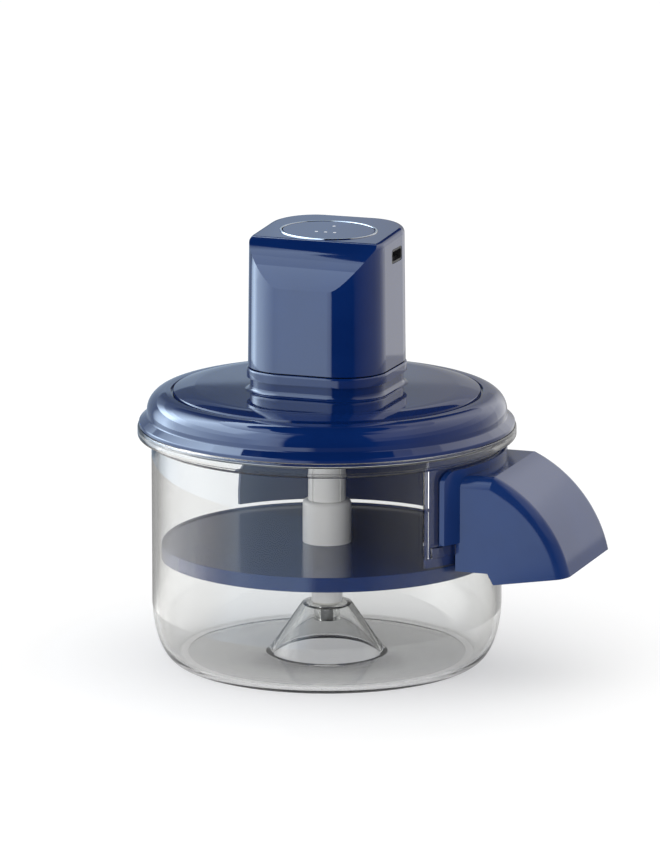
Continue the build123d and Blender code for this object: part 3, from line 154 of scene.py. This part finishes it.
# Moulded plastics and metals: two near tones, an uneven gloss and a fine grain (scale, strength, depth).
finishes = {
    "navy_gloss": {
        "tones": ((0.0019, 0.0135, 0.083), (0.0026, 0.0165, 0.096)), "gloss": (0.035, 0.06),
        "grain": (900, 0.03, 0.00001), "coat": 0.25,
    },
    "navy_satin": {
        "tones": ((0.0045, 0.0215, 0.105), (0.0055, 0.025, 0.118)), "gloss": (0.13, 0.18),
        "grain": (900, 0.03, 0.00001),
    },
    "white_hub": {
        "tones": ((0.86, 0.86, 0.85), (0.9, 0.9, 0.89)), "gloss": (0.3, 0.4), "grain": (1800, 0.05, 0.00002),
    },
    "soft_seal": {
        "tones": ((0.62, 0.63, 0.62), (0.68, 0.69, 0.68)), "gloss": (0.5, 0.62),
        "grain": (1500, 0.1, 0.00002), "specular": 0.4,
    },
    "black_seal": {
        "tones": ((0.012, 0.012, 0.013), (0.02, 0.02, 0.021)), "gloss": (0.5, 0.65),
        "grain": (1500, 0.12, 0.00002), "specular": 0.4,
    },
    "gear_white": {
        "tones": ((0.66, 0.65, 0.60), (0.74, 0.73, 0.68)), "gloss": (0.35, 0.48),
        "grain": (1400, 0.08, 0.00002),
    },
    "inner_black": {
        "tones": ((0.014, 0.014, 0.016), (0.022, 0.022, 0.025)), "gloss": (0.4, 0.55),
        "grain": (1600, 0.12, 0.00003),
    },
    "bright_steel": {
        "tones": ((0.56, 0.57, 0.58), (0.64, 0.65, 0.66)), "gloss": (0.16, 0.26),
        "grain": (700, 0.06, 0.00001), "metal": 1,
    },
    "zinc_steel": {
        "tones": ((0.46, 0.47, 0.48), (0.56, 0.57, 0.57)), "gloss": (0.28, 0.4),
        "grain": (600, 0.1, 0.00002), "metal": 1,
    },
    "ring_chrome": {
        "tones": ((0.62, 0.64, 0.67), (0.7, 0.72, 0.75)), "gloss": (0.05, 0.1),
        "grain": (900, 0.03, 0.00001), "metal": 1,
    },
    "bronze": {
        "tones": ((0.45, 0.26, 0.11), (0.55, 0.33, 0.15)), "gloss": (0.28, 0.42),
        "grain": (900, 0.12, 0.00002), "metal": 1,
    },
    "ferrite": {
        "tones": ((0.035, 0.034, 0.034), (0.055, 0.054, 0.053)), "gloss": (0.55, 0.7),
        "grain": (2200, 0.2, 0.00003),
    },
    "copper_core": {
        "tones": ((0.5, 0.2, 0.08), (0.62, 0.27, 0.12)), "gloss": (0.25, 0.4),
        "grain": (1500, 0.2, 0.00004), "metal": 1,
    },
    "cell_wrap": {
        "tones": ((0.04, 0.16, 0.12), (0.05, 0.19, 0.15)), "gloss": (0.25, 0.35),
        "grain": (800, 0.08, 0.00002), "coat": 0.2,
    },
    "board_green": {
        "tones": ((0.012, 0.09, 0.035), (0.02, 0.12, 0.05)), "gloss": (0.25, 0.4),
        "grain": (1700, 0.15, 0.00003), "coat": 0.1,
    },
}
mouldedLook = {  # what a finish has unless it says otherwise
    "toneScale": 38, "smudgeScale": 120, "smudgeDetail": 5, "smudgeRoughness": 0.6, "grainDetail": 2,
    "metal": 0, "specular": 0.5, "coat": 0, "coatRoughness": 0.03,
}


def mouldedFinish(name, settings):
    material, tree, shader = newMaterial(name + "_finish")
    look = {**mouldedLook, **settings}
    place = objectCoordinates(tree)
    broad = addNoise(tree, place, look["toneScale"])
    smudge = addNoise(tree, place, look["smudgeScale"], look["smudgeDetail"], look["smudgeRoughness"])
    feed(tree, shader.inputs["Base Color"], tintBetween(tree, broad, *look["tones"]))
    feed(tree, shader.inputs["Roughness"], spread(tree, smudge, *look["gloss"]))
    addGrain(tree, shader, place, look["grain"], look["grainDetail"])
    shader.inputs["Metallic"].default_value = look["metal"]
    shader.inputs["Specular IOR Level"].default_value = look["specular"]
    shader.inputs["Coat Weight"].default_value = look["coat"]
    shader.inputs["Coat Roughness"].default_value = look["coatRoughness"]
    return material


# Clear moulding: a pale tint of its own, with painted shade where it is met edge on, darker and browner
# towards the outline. Light that makes shadows or was scattered passes straight through it, so that what
# is inside stays lit.
clearPlastic = {
    "tint": (0.9, 0.905, 0.9), "edge": (0.42, 0.4, 0.36), "edgePower": 3, "ior": 1.49, "shade": 0.975,
    "gloss": (0.0, 0.02), "glossScale": 60, "grain": (25, 0.05, 0.0001), "grainDetail": 1,
}


def clearFinish(name, settings):
    material, tree, shader = newMaterial(name + "_finish")
    place = objectCoordinates(tree)
    facing = addNode(tree, "ShaderNodeLayerWeight").outputs["Facing"]
    # painted shade: by how edge on the surface is met, the tint darkens towards the edge colour
    edgeShade = addMath(tree, "POWER", facing, settings["edgePower"])
    ends = {"Factor": edgeShade, "A": (*settings["tint"], 1), "B": (*settings["edge"], 1)}
    tint = addNode(tree, "ShaderNodeMix", ends, data_type="RGBA").outputs["Result"]
    gloss = spread(tree, addNoise(tree, place, settings["glossScale"]), *settings["gloss"])
    feed(tree, shader.inputs["Base Color"], tint)
    feed(tree, shader.inputs["Roughness"], gloss)
    addGrain(tree, shader, place, settings["grain"], settings["grainDetail"])
    shader.inputs["Transmission Weight"].default_value = 1
    shader.inputs["IOR"].default_value = settings["ior"]
    passing = addNode(tree, "ShaderNodeBsdfTransparent", {"Color": (settings["shade"],) * 3 + (1,)})
    either = eitherRay(tree, "Is Shadow Ray", "Is Diffuse Ray")
    showSurface(tree, mixShaders(tree, either, shader, passing))
    return material


# Light dots in the button: frosted white with a faint glow.
lightDots = {
    "tones": ((0.75, 0.77, 0.8), (0.85, 0.87, 0.9)), "toneScale": 900,
    "gloss": (0.25, 0.4), "glossScale": 2500, "glow": (0.8, 0.87, 1), "strength": 0.08,
}


def lightDotFinish(name, settings):
    material, tree, shader = newMaterial(name + "_finish")
    place = objectCoordinates(tree)
    tint = tintBetween(tree, addNoise(tree, place, settings["toneScale"]), *settings["tones"])
    gloss = spread(tree, addNoise(tree, place, settings["glossScale"]), *settings["gloss"])
    feed(tree, shader.inputs["Base Color"], tint)
    feed(tree, shader.inputs["Roughness"], gloss)
    shader.inputs["Emission Color"].default_value = (*settings["glow"], 1)
    shader.inputs["Emission Strength"].default_value = settings["strength"]
    return material


slotFinish = {name: mouldedFinish(name, settings) for name, settings in finishes.items()}
slotFinish["clear_bowl"] = clearFinish("clear_bowl", clearPlastic)
slotFinish["light_white"] = lightDotFinish("light_white", lightDots)

for obj in nodes.values():
    for index, material in enumerate(obj.data.materials):
        wanted = material.name.split(".")[0]
        obj.data.materials[index] = slotFinish[wanted]
print("finishes made:", len(slotFinish))


# Clear bowl, turned in one piece: metres, from the axis outwards and from the floor up.
bowlShape = {
    "radius": 0.0825, "wall": 0.0025, "height": 0.1128, "rounding": 0.0009,
    "footRadius": 0.07, "footWidth": 0.004, "footHeight": 0.001, "floorTop": 0.0032,
    "turnWidth": 0.0125, "turnHeight": 0.0292, "flareRadius": 0.003,
    "rimRadius": 0.089, "rimWall": 0.0027, "rimUnder": 0.1078, "ledgeTop": 0.1103,
    "coneBase": 0.0278, "coneTop": 0.0117, "coneHeight": 0.0267, "coneWall": 0.002, "coneFoot": 0.003,
    "pinRadius": 0.003, "pinDepth": 0.0087, "pinWall": 0.003,
    "steps": 220, "turnSteps": 28, "flareSteps": 10, "wallSteps": 6, "cornerSteps": 5,
    "seam": 0.000001, "sharpAngle": 32,
    "window": {"half": 0.03, "low": 0.0562, "high": 0.0992, "rounding": 0.004, "corners": 6, "reach": 0.1},
    "shelf": {
        "inner": 0.0808, "outer": 0.0845, "low": 0.0637, "high": 0.0685,
        "middle": math.radians(30), "width": math.radians(10), "columns": 13,
    },
    "rail": {"depth": 0.0024, "width": 0.0024, "low": 0.0638, "high": 0.1051, "angle": math.radians(36.8)},
}


def arcPoints(centre, radii, start, end, steps):
    across, up = centre
    wide, tall = radii
    turns = [math.radians(start + (end - start) * step / steps) for step in range(steps + 1)]
    return [(across + wide * math.cos(turn), up + tall * math.sin(turn)) for turn in turns]


def wallPoints(radius, start, end, steps):
    # Points between the two ends of an upright wall.
    return [(radius, start + (end - start) * step / steps) for step in range(1, steps)]


def roundedCorner(before, corner, after, radius, steps):
    corner = Vector(corner)
    first = (Vector(before) - corner).normalized()
    second = (Vector(after) - corner).normalized()
    half = first.angle(second) / 2
    reach = radius / math.tan(half)
    centre = corner + (first + second).normalized() * radius / math.sin(half)
    start = (corner + first * reach - centre).normalized()
    end = (corner + second * reach - centre).normalized()
    return [tuple(centre + start.slerp(end, step / steps) * radius) for step in range(steps + 1)]


def bowlProfile(size):
    inner, rimInner = size["radius"] - size["wall"], size["rimRadius"] - size["rimWall"]
    turnCentre = (size["footRadius"], size["turnHeight"])
    # up the outside to the end of the flare
    turnRadii = (size["turnWidth"], size["turnHeight"])
    flareLow, flareRadii = size["rimUnder"] - size["flareRadius"], (size["flareRadius"],) * 2
    points = arcPoints(turnCentre, turnRadii, -90, 0, size["turnSteps"])
    points += wallPoints(size["radius"], size["turnHeight"], flareLow, size["wallSteps"])
    points += arcPoints((size["radius"], size["rimUnder"]), flareRadii, -90, 0, size["flareSteps"])
    # round the rim and over the ledge; the corner between the two stays sharp
    sharpCorner = (rimInner, size["ledgeTop"])
    rim = [
        (size["radius"] + size["flareRadius"], size["rimUnder"]), (size["rimRadius"], size["rimUnder"]),
        (size["rimRadius"], size["height"]), (rimInner, size["height"]), sharpCorner,
        (inner, size["ledgeTop"]), (inner, size["turnHeight"]),
    ]
    for before, corner, after in zip(rim, rim[1:], rim[2:]):
        if corner == sharpCorner:
            points.append(corner)
        else:
            points += roundedCorner(before, corner, after, size["rounding"], size["cornerSteps"])
    # down the inside to the floor
    turnRadii = (size["turnWidth"] - size["wall"], size["turnHeight"] - size["floorTop"])
    points += wallPoints(inner, size["ledgeTop"], size["turnHeight"], size["wallSteps"])
    points += arcPoints(turnCentre, turnRadii, 0, -90, size["turnSteps"])
    # up the cone, into the pin's hole and back under the floor
    floorEnd, foot = (size["footRadius"], size["floorTop"]), (size["coneBase"], size["floorTop"])
    top = (size["coneTop"], size["coneHeight"])
    points += roundedCorner(floorEnd, foot, top, size["coneFoot"], size["cornerSteps"])
    boss, pinLow = size["pinRadius"] + size["pinWall"], size["coneHeight"] - size["pinDepth"]
    points += [top, (size["pinRadius"], size["coneHeight"]), (size["pinRadius"], pinLow), (boss, pinLow)]
    under, footInner = size["coneHeight"] - size["coneWall"], size["footRadius"] - size["footWidth"]
    points += [(boss, under), (size["coneTop"] - size["coneWall"], under)]
    points += [(size["coneBase"] - size["coneWall"], size["footHeight"]), (footInner, size["footHeight"])]
    points += [(footInner, 0), (size["footRadius"], 0)]
    return points


class Shaper:
    # A small writer for shape trees: an input is named by its label, or given a number or an output.
    kinds = {bpy.types.Object: "Object", int: "Int", float: "Float"}

    def __init__(self, name, values):
        self.tree = bpy.data.node_groups.new(name, "GeometryNodeTree")
        self.tree.interface.new_socket("Geometry", in_out="OUTPUT", socket_type="NodeSocketGeometry")
        for label, value in values.items():
            kind = "NodeSocket" + self.kinds[type(value)]
            self.tree.interface.new_socket(label, in_out="INPUT", socket_type=kind)
        self.inputs = self.tree.nodes.new("NodeGroupInput")

    def add(self, kind, inputs=None, **settings):
        links = {name: self.named(value) for name, value in (inputs or {}).items()}
        return addNode(self.tree, kind, links, **settings)

    def named(self, value):
        return self.inputs.outputs[value] if isinstance(value, str) else value

    def math(self, operation, first, second=0.0):
        return self.add("ShaderNodeMath", {0: first, 1: second}, operation=operation).outputs[0]

    def vector(self, x=0.0, y=0.0, z=0.0):
        return self.add("ShaderNodeCombineXYZ", {0: x, 1: y, 2: z}).outputs[0]

    def height(self, part):
        return self.math("SUBTRACT", part + " High", part + " Low")

    def middle(self, part):
        return self.math("DIVIDE", self.math("ADD", part + " High", part + " Low"), 2)

    def place(self, geometry, move=(0, 0, 0), turn=(0, 0, 0)):
        inputs = {"Geometry": geometry, "Translation": move, "Rotation": turn}
        return self.add("GeometryNodeTransform", inputs).outputs[0]

    def move(self, geometry, position):
        return self.add("GeometryNodeSetPosition", {"Geometry": geometry, "Position": position}).outputs[0]

    def finish(self, geometry, material):
        real = self.add("GeometryNodeRealizeInstances", {"Geometry": geometry})
        dressed = self.add("GeometryNodeSetMaterial", {"Geometry": real.outputs[0], "Material": material})
        out = self.tree.nodes.new("NodeGroupOutput")
        self.tree.links.new(dressed.outputs[0], out.inputs[0])
        return self.tree


def grown(name, tree, values, sharpAngle):
    obj = addObject(name, bpy.data.meshes.new(name + "Seed"))
    modifier = obj.modifiers.new("shape", "NODES")
    modifier.node_group = tree
    for item in tree.interface.items_tree:
        if item.in_out == "INPUT":
            modifier[item.identifier] = values[item.name]
    mesh = bpy.data.meshes.new_from_object(obj.evaluated_get(bpy.context.evaluated_depsgraph_get()))
    obj.modifiers.remove(modifier)
    obj.data = mesh
    mesh.shade_smooth()
    mesh.set_sharp_from_angle(angle=math.radians(sharpAngle))
    return obj


def profileObject(name, points):
    mesh = bpy.data.meshes.new(name)
    edges = [(index, index + 1) for index in range(len(points) - 1)]
    mesh.from_pydata([(radius, 0, height) for radius, height in points], edges, [])
    return addObject(name, mesh)


def turnedShell(shaper, position):
    # A grid whose rows follow the profile and whose columns go round the axis.
    columns = shaper.math("ADD", "Steps", 1)
    grid = shaper.add("GeometryNodeMeshGrid", {"Vertices X": "Profile Points", "Vertices Y": columns})
    index = shaper.add("GeometryNodeInputIndex").outputs[0]
    safeIndex = shaper.math("ADD", index, 0.5)  # away from the whole rows, where rounding could slip
    row = shaper.math("FLOOR", shaper.math("DIVIDE", safeIndex, columns))
    column = shaper.math("SUBTRACT", index, shaper.math("MULTIPLY", row, columns))
    angle = shaper.math("MULTIPLY", column, shaper.math("DIVIDE", math.tau, "Steps"))
    profile = shaper.add("GeometryNodeObjectInfo", {"Object": "Profile"}).outputs["Geometry"]
    found = {"Geometry": profile, "Value": position, "Index": row}
    point = shaper.add("GeometryNodeSampleIndex", found, data_type="FLOAT_VECTOR").outputs[0]
    turned = shaper.add("ShaderNodeVectorRotate", {"Vector": point, "Angle": angle}, rotation_type="Z_AXIS")
    shell = shaper.move(grid.outputs["Mesh"], turned.outputs[0])
    merged = shaper.add("GeometryNodeMergeByDistance", {"Geometry": shell, "Distance": "Seam"})
    return shaper.add("GeometryNodeFlipFaces", {"Mesh": merged.outputs[0]}).outputs[0]


def windowBar(shaper):
    # A rounded rectangle pushed out along X.
    sizes = {"Width": shaper.height("Window"), "Height": shaper.math("MULTIPLY", "Window Half", 2)}
    sheet = shaper.add("GeometryNodeCurvePrimitiveQuadrilateral", sizes)
    corners = {"Curve": sheet.outputs[0], "Radius": "Window Rounding", "Count": "Window Corners"}
    rounded = shaper.add("GeometryNodeFilletCurve", corners, mode="POLY")
    path = shaper.add("GeometryNodeCurvePrimitiveLine", {"End": shaper.vector(z="Window Reach")})
    swept = {"Curve": path.outputs[0], "Profile Curve": rounded.outputs[0], "Fill Caps": True}
    bar = shaper.add("GeometryNodeCurveToMesh", swept).outputs[0]
    return shaper.place(bar, move=shaper.vector(z=shaper.middle("Window")), turn=(0, math.radians(90), 0))


def railBar(shaper, side):
    size = shaper.vector("Rail Depth", "Rail Width", shaper.height("Rail"))
    rail = shaper.add("GeometryNodeMeshCube", {"Size": size}).outputs["Mesh"]
    out = shaper.place(rail, move=shaper.vector("Radius", 0.0, shaper.middle("Rail")))
    return shaper.place(out, turn=shaper.vector(z=shaper.math("MULTIPLY", "Rail Angle", side)))


def shelfBlock(shaper, position, side):
    # A unit block round its own middle, bent round the axis.
    halfWidth = shaper.math("DIVIDE", "Shelf Width", 2)
    start = shaper.math("SUBTRACT", shaper.math("MULTIPLY", "Shelf Middle", side), halfWidth)
    counts = {"Size": (1, 1, 1), "Vertices X": 2, "Vertices Y": "Shelf Columns", "Vertices Z": 2}
    block = shaper.add("GeometryNodeMeshCube", counts).outputs["Mesh"]
    across, along, up = shaper.add("ShaderNodeSeparateXYZ", {0: position}).outputs
    span = {"From Min": -0.5, "From Max": 0.5, "To Min": "Shelf Inner", "To Max": "Shelf Outer"}
    radius = shaper.add("ShaderNodeMapRange", {"Value": across, **span}).outputs[0]
    share = shaper.math("ADD", along, 0.5)
    angle = shaper.math("ADD", shaper.math("MULTIPLY", share, "Shelf Width"), start)
    x = shaper.math("MULTIPLY", radius, shaper.math("COSINE", angle))
    y = shaper.math("MULTIPLY", radius, shaper.math("SINE", angle))
    rise = shaper.math("MULTIPLY", up, shaper.height("Shelf"))
    return shaper.move(block, shaper.vector(x, y, shaper.math("ADD", rise, shaper.middle("Shelf"))))


def bowlTree(values, material):
    shaper = Shaper("turnedBowl", values)
    position = shaper.add("GeometryNodeInputPosition").outputs[0]
    cut = shaper.add("GeometryNodeMeshBoolean", operation="DIFFERENCE")
    feed(shaper.tree, cut.inputs["Mesh 1"], turnedShell(shaper, position))
    feed(shaper.tree, cut.inputs["Mesh 2"], windowBar(shaper))
    parts = [cut.outputs[0]]
    for side in (1, -1):
        parts += [railBar(shaper, side), shelfBlock(shaper, position, side)]
    join = shaper.add("GeometryNodeMeshBoolean", operation="UNION")
    for part in parts:
        feed(shaper.tree, join.inputs["Mesh 2"], part)
    return shaper.finish(join.outputs[0], material)


def makeBowl(size, material):
    points = bowlProfile(size)
    profile = profileObject("bowlOutline", points)
    values = {
        "Profile": profile, "Profile Points": len(points),
        "Steps": size["steps"], "Radius": size["radius"], "Seam": size["seam"],
    }
    for part in ("window", "shelf", "rail"):
        values.update({f"{part} {measure}".title(): value for measure, value in size[part].items()})
    bowl = grown("clearBowl", bowlTree(values, material), values, size["sharpAngle"])
    bpy.data.objects.remove(profile)
    return bowl


clearBowl = makeBowl(bowlShape, slotFinish["clear_bowl"])
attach(clearBowl, "bowl")
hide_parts("bowl", "bowl_base", "bowl_floor", "bowl_cone")
print("bowl turned:", len(clearBowl.data.polygons), "faces")


# Studio: a pale floor, even light from all round, three soft panels, and reflector rings that only
# mirrored rays meet.
def stagePiece(name, verts, faces, material):
    mesh = bpy.data.meshes.new(name)
    mesh.from_pydata(verts, [], faces)
    mesh.materials.append(material)
    obj = addObject(name, mesh)
    return obj


def afterMirror(tree):
    # 1 for a ray that was mirrored and has not been scattered since.
    light = addNode(tree, "ShaderNodeLightPath")
    mirrored = addMath(tree, "GREATER_THAN", light.outputs["Glossy Depth"], 0.5)
    return addMath(tree, "SUBTRACT", mirrored, light.outputs["Is Diffuse Ray"], use_clamp=True)


def reflectorMaterial():
    # Tinted light by the ring's level, or white light by its inner level where it is met through the bowl.
    material, tree, shader = newMaterial("reflectorGlow")
    tree.nodes.remove(shader)
    level, inner, tint = (addNode(tree, "ShaderNodeAttribute", attribute_name=label) for label in ringLabels)
    depth = addNode(tree, "ShaderNodeLightPath").outputs["Transmission Depth"]
    inside = addMath(tree, "GREATER_THAN", depth, 0.5)
    strengths = {"Factor": inside, "A": level.outputs["Fac"], "B": inner.outputs["Fac"]}
    strength = addNode(tree, "ShaderNodeMix", strengths).outputs["Result"]
    colours = {"Factor": inside, "A": tint.outputs["Color"], "B": (1, 1, 1, 1)}
    colour = addNode(tree, "ShaderNodeMix", colours, data_type="RGBA").outputs["Result"]
    glow = addNode(tree, "ShaderNodeEmission", {"Color": colour, "Strength": strength})
    clear = addNode(tree, "ShaderNodeBsdfTransparent")
    showSurface(tree, mixShaders(tree, afterMirror(tree), clear, glow))
    material.cycles.emission_sampling = "NONE"
    return material


# Cooler light on the left and behind, neutral light on the right: a share of white by azimuth.
coolLight = (1.05, 1.3, 1.6)
neutralShare = [(-180, 1.0), (-168, 0.9), (-160, 0.1), (-150, 0.0), (-20, 0.0), (40, 1.0), (180, 1.0)]
neutralApron = [(-180, 1.0), (-52, 1.0), (-36, 0.0), (8, 0.0), (16, 1.0), (180, 1.0)]

# Brightness of the same light where it is met through the clear wall.
innerStops = [
    (-180, 0.2), (-110, 0.6), (-92, 2.2), (-68, 2.7), (-45, 0.8), (-20, 0.3),
    (40, 0.2), (60, 0.45), (95, 0.6), (140, 0.4), (180, 0.2),
]

# A ring runs round the object between two heights; stops give its brightness by azimuth. The apron lies
# flat, just over the floor, and the cap's upper edge is sloped.
ringShape = {"radius": 0.45, "steps": 180}
ringLabels = ("level", "inner", "tint")
rings = {
    "footRing": {"low": 0.0, "high": 0.06, "stops": [
        (-180, 0.35), (-116, 0.3), (-107, 1.0), (-95, 1.5), (-80, 1.4), (-50, 1.8), (-32, 1.6), (-17, 1.3),
        (8, 1.2), (14, 0.1), (42, 0.1), (52, 0.2), (90, 0.4), (125, 0.45), (150, 0.7), (168, 0.9),
        (180, 0.35),
    ]},
    "lowRing": {"low": 0.06, "high": 0.225, "stops": [
        (-180, 0.45), (-150, 0.42), (-135, 0.3), (-116, 0.3), (-107, 2.0), (-95, 4.0), (-82, 2.9),
        (-65, 3.0), (-50, 2.5), (-32, 1.9), (-17, 2.05), (-7, 1.5), (-4, 0.0), (47, 0.0), (52, 0.12),
        (62, 0.2), (75, 0.3), (90, 0.4), (105, 0.48), (125, 0.7), (150, 1.25), (168, 1.25), (180, 0.45),
    ]},
    "middleRing": {"low": 0.225, "high": 0.3, "stops": [
        (-180, 0.4), (-165, 0.28), (-152, 0.13), (-140, 0.15), (-125, 0.5), (-118, 1.8), (-106, 6),
        (-95, 8), (-85, 5.6), (-70, 3.6), (-50, 3.2), (-30, 2.6), (-7, 1.6), (-4, 0.0), (46, 0.0),
        (50, 0.5), (90, 0.55), (105, 0.65), (120, 0.85), (150, 1.5), (165, 1.3), (180, 0.42),
    ]},
    "browRing": {"low": 0.3, "high": 0.36, "stops": [
        (-180, 0.5), (-156, 0.5), (-148, 0.2), (-135, 0.2), (-125, 0.35), (-118, 0.8), (-106, 4.5),
        (-95, 7), (-85, 5.6), (-70, 3.6), (-50, 3.2), (-30, 2.6), (-7, 1.6), (-4, 0.0), (46, 0.0),
        (50, 0.5), (90, 0.55), (105, 0.65), (120, 0.85), (150, 1.5), (165, 1.3), (180, 0.5),
    ]},
    "highRing": {"low": 0.36, "high": 0.7, "stops": [
        (-180, 0.03), (-145, 0.03), (-135, 0.1), (-125, 0.3), (-115, 1.6), (-105, 3.2), (-92, 5.5), (-75, 5),
        (-60, 4.6), (-42, 4.4), (-32, 2.5), (-20, 2.2), (-8, 1.2), (-4, 0.0), (46, 0.0), (50, 0.6), (60, 0.8),
        (105, 1.0), (120, 1.2), (150, 1.4), (168, 0.9), (176, 0.03), (180, 0.03),
    ]},
    "topRing": {"low": 0.7, "high": 1.0, "stops": [
        (-180, 0.05), (-150, 0.05), (-140, 2.5), (-120, 4), (-90, 3.6), (-60, 2.7), (-45, 2.0), (-30, 1.8),
        (-15, 0.5), (0, 0.0), (60, 0.0), (75, 0.95), (105, 1.3), (135, 0.8), (165, 1.0), (180, 0.05),
    ]},
    "capRing": {"low": 1.0, "high": [
        (-180, 1.15), (-112, 1.2), (-92, 1.3), (-72, 1.39), (-66, 1.38), (-59, 1.26), (-51, 1.18),
        (-44, 1.11), (-34, 1.02), (-30, 1.01), (0, 1.01), (60, 1.3), (180, 1.3),
    ], "stops": [
        (-180, 0.02), (-92, 0.04), (-82, 0.6), (-74, 1.3), (-66, 2.0), (-55, 1.9), (-45, 1.7), (-30, 1.6),
        (-15, 0.2), (0, 0.0), (60, 0.0), (75, 0.6), (105, 0.9), (135, 0.5), (165, 0.4), (180, 0.02),
    ]},
    "apron": {"low": 0.0005, "high": 0.0005, "lowRadius": 0.135, "neutral": neutralApron, "stops": [
        (-180, 0.35), (-116, 0.4), (-104, 0.7), (-85, 0.8), (-60, 0.6), (-40, 1.1), (-32, 1.5), (-17, 1.35),
        (8, 1.25), (14, 0.15), (42, 0.1), (52, 0.2), (90, 0.4), (125, 0.45), (150, 0.7), (168, 0.9),
        (180, 0.35),
    ]},
}


def levelAt(stops, azimuth):
    for (start, before), (end, after) in zip(stops, stops[1:]):
        if start <= azimuth <= end:
            return before + (after - before) * (azimuth - start) / (end - start)


def reflectorRing(name, settings, material):
    low, high = settings["low"], settings["high"]
    outer, steps = ringShape["radius"], ringShape["steps"]
    lowRadius, neutral = settings.get("lowRadius", outer), settings.get("neutral", neutralShare)
    verts, levels, inner, tints = [], [], [], []
    for step in range(steps + 1):
        azimuth = -180 + 360 * step / steps
        turn = math.radians(azimuth)
        top = levelAt(high, azimuth) if isinstance(high, list) else high
        share = levelAt(neutral, azimuth)
        for radius, height in ((lowRadius, low), (outer, top)):
            verts.append((radius * math.sin(turn), -radius * math.cos(turn), height))
            levels.append(levelAt(settings["stops"], azimuth))
            inner.append(levelAt(innerStops, azimuth))
            tints += [share + (1 - share) * tone for tone in coolLight] + [1]
    faces = [(corner, corner + 2, corner + 3, corner + 1) for corner in range(0, 2 * steps, 2)]
    obj = stagePiece(name, verts, faces, material)
    fields = (("FLOAT", "value", levels), ("FLOAT", "value", inner), ("FLOAT_COLOR", "color", tints))
    for label, (kind, field, values) in zip(ringLabels, fields):
        obj.data.attributes.new(label, kind, "POINT").data.foreach_set(field, values)
    obj.visible_camera = obj.visible_diffuse = obj.visible_shadow = False


reflectorGlow = reflectorMaterial()
for name, settings in rings.items():
    reflectorRing(name, settings, reflectorGlow)


# Floor: pale paper, lifted a little where it is looked at, also through the bowl.
floorPaper = {
    "reach": 8, "tone": 0.83, "unevenness": 0.01, "scale": 3, "roughness": 0.8, "specular": 0.1, "lift": 0.22,
}


def floorMaterial(settings):
    material, tree, shader = newMaterial("floorPaper")
    tones = [(tone,) * 3 for tone in (settings["tone"], settings["tone"] + settings["unevenness"])]
    noise = addNoise(tree, objectCoordinates(tree), settings["scale"])
    seen = eitherRay(tree, "Is Camera Ray", "Is Transmission Ray")
    feed(tree, shader.inputs["Base Color"], tintBetween(tree, noise, *tones))
    feed(tree, shader.inputs["Emission Strength"], addMath(tree, "MULTIPLY", seen, settings["lift"]))
    shader.inputs["Roughness"].default_value = settings["roughness"]
    shader.inputs["Specular IOR Level"].default_value = settings["specular"]
    shader.inputs["Emission Color"].default_value = (1, 1, 1, 1)
    material.cycles.emission_sampling = "NONE"
    return material


def makeFloor(settings):
    reach = settings["reach"]
    corners = [(-reach, -reach, 0), (reach, -reach, 0), (reach, reach, 0), (-reach, reach, 0)]
    stagePiece("floor", corners, [(0, 1, 2, 3)], floorMaterial(settings))


makeFloor(floorPaper)


# Soft panels, in degrees, metres and watts; they face the middle of the object and leave no reflection.
panels = {
    "leftPanel": {"azimuth": -70, "elevation": 40, "distance": 1.8, "size": (1.2, 1.0), "power": 0.6},
    "frontPanel": {"azimuth": -5, "elevation": 9, "distance": 1.5, "size": (1.2, 0.4), "power": 6},
    "rightPanel": {"azimuth": 120, "elevation": 35, "distance": 1.8, "size": (1.0, 1.0), "power": 0.6},
}


def softPanel(name, azimuth, elevation, distance, size, power):
    light = bpy.data.lights.new(name, "AREA")
    light.shape = "RECTANGLE"
    light.size, light.size_y = size
    light.energy = power
    obj = addObject(name, light)
    towards = direction(azimuth, elevation)
    obj.location = Vector(viewpoint["target"]) + towards * distance
    obj.rotation_euler = towards.to_track_quat("Z", "Y").to_euler()
    obj.visible_glossy = False


for name, settings in panels.items():
    softPanel(name, **settings)


def worldLight():
    # White air all round, but black for mirrored rays, which are left to the rings.
    world = bpy.data.worlds.new("studioAir")
    bpy.context.scene.world = world
    world.use_nodes = True
    world.cycles.sampling_method = "NONE"
    tree = world.node_tree
    tree.nodes.clear()
    air = addNode(tree, "ShaderNodeBackground", {"Color": (1, 1, 1, 1), "Strength": 1})
    dark = addNode(tree, "ShaderNodeBackground", {"Color": (1, 1, 1, 1), "Strength": 0})
    addNode(tree, "ShaderNodeOutputWorld", {"Surface": mixShaders(tree, afterMirror(tree), air, dark)})


worldLight()
print("studio lit")
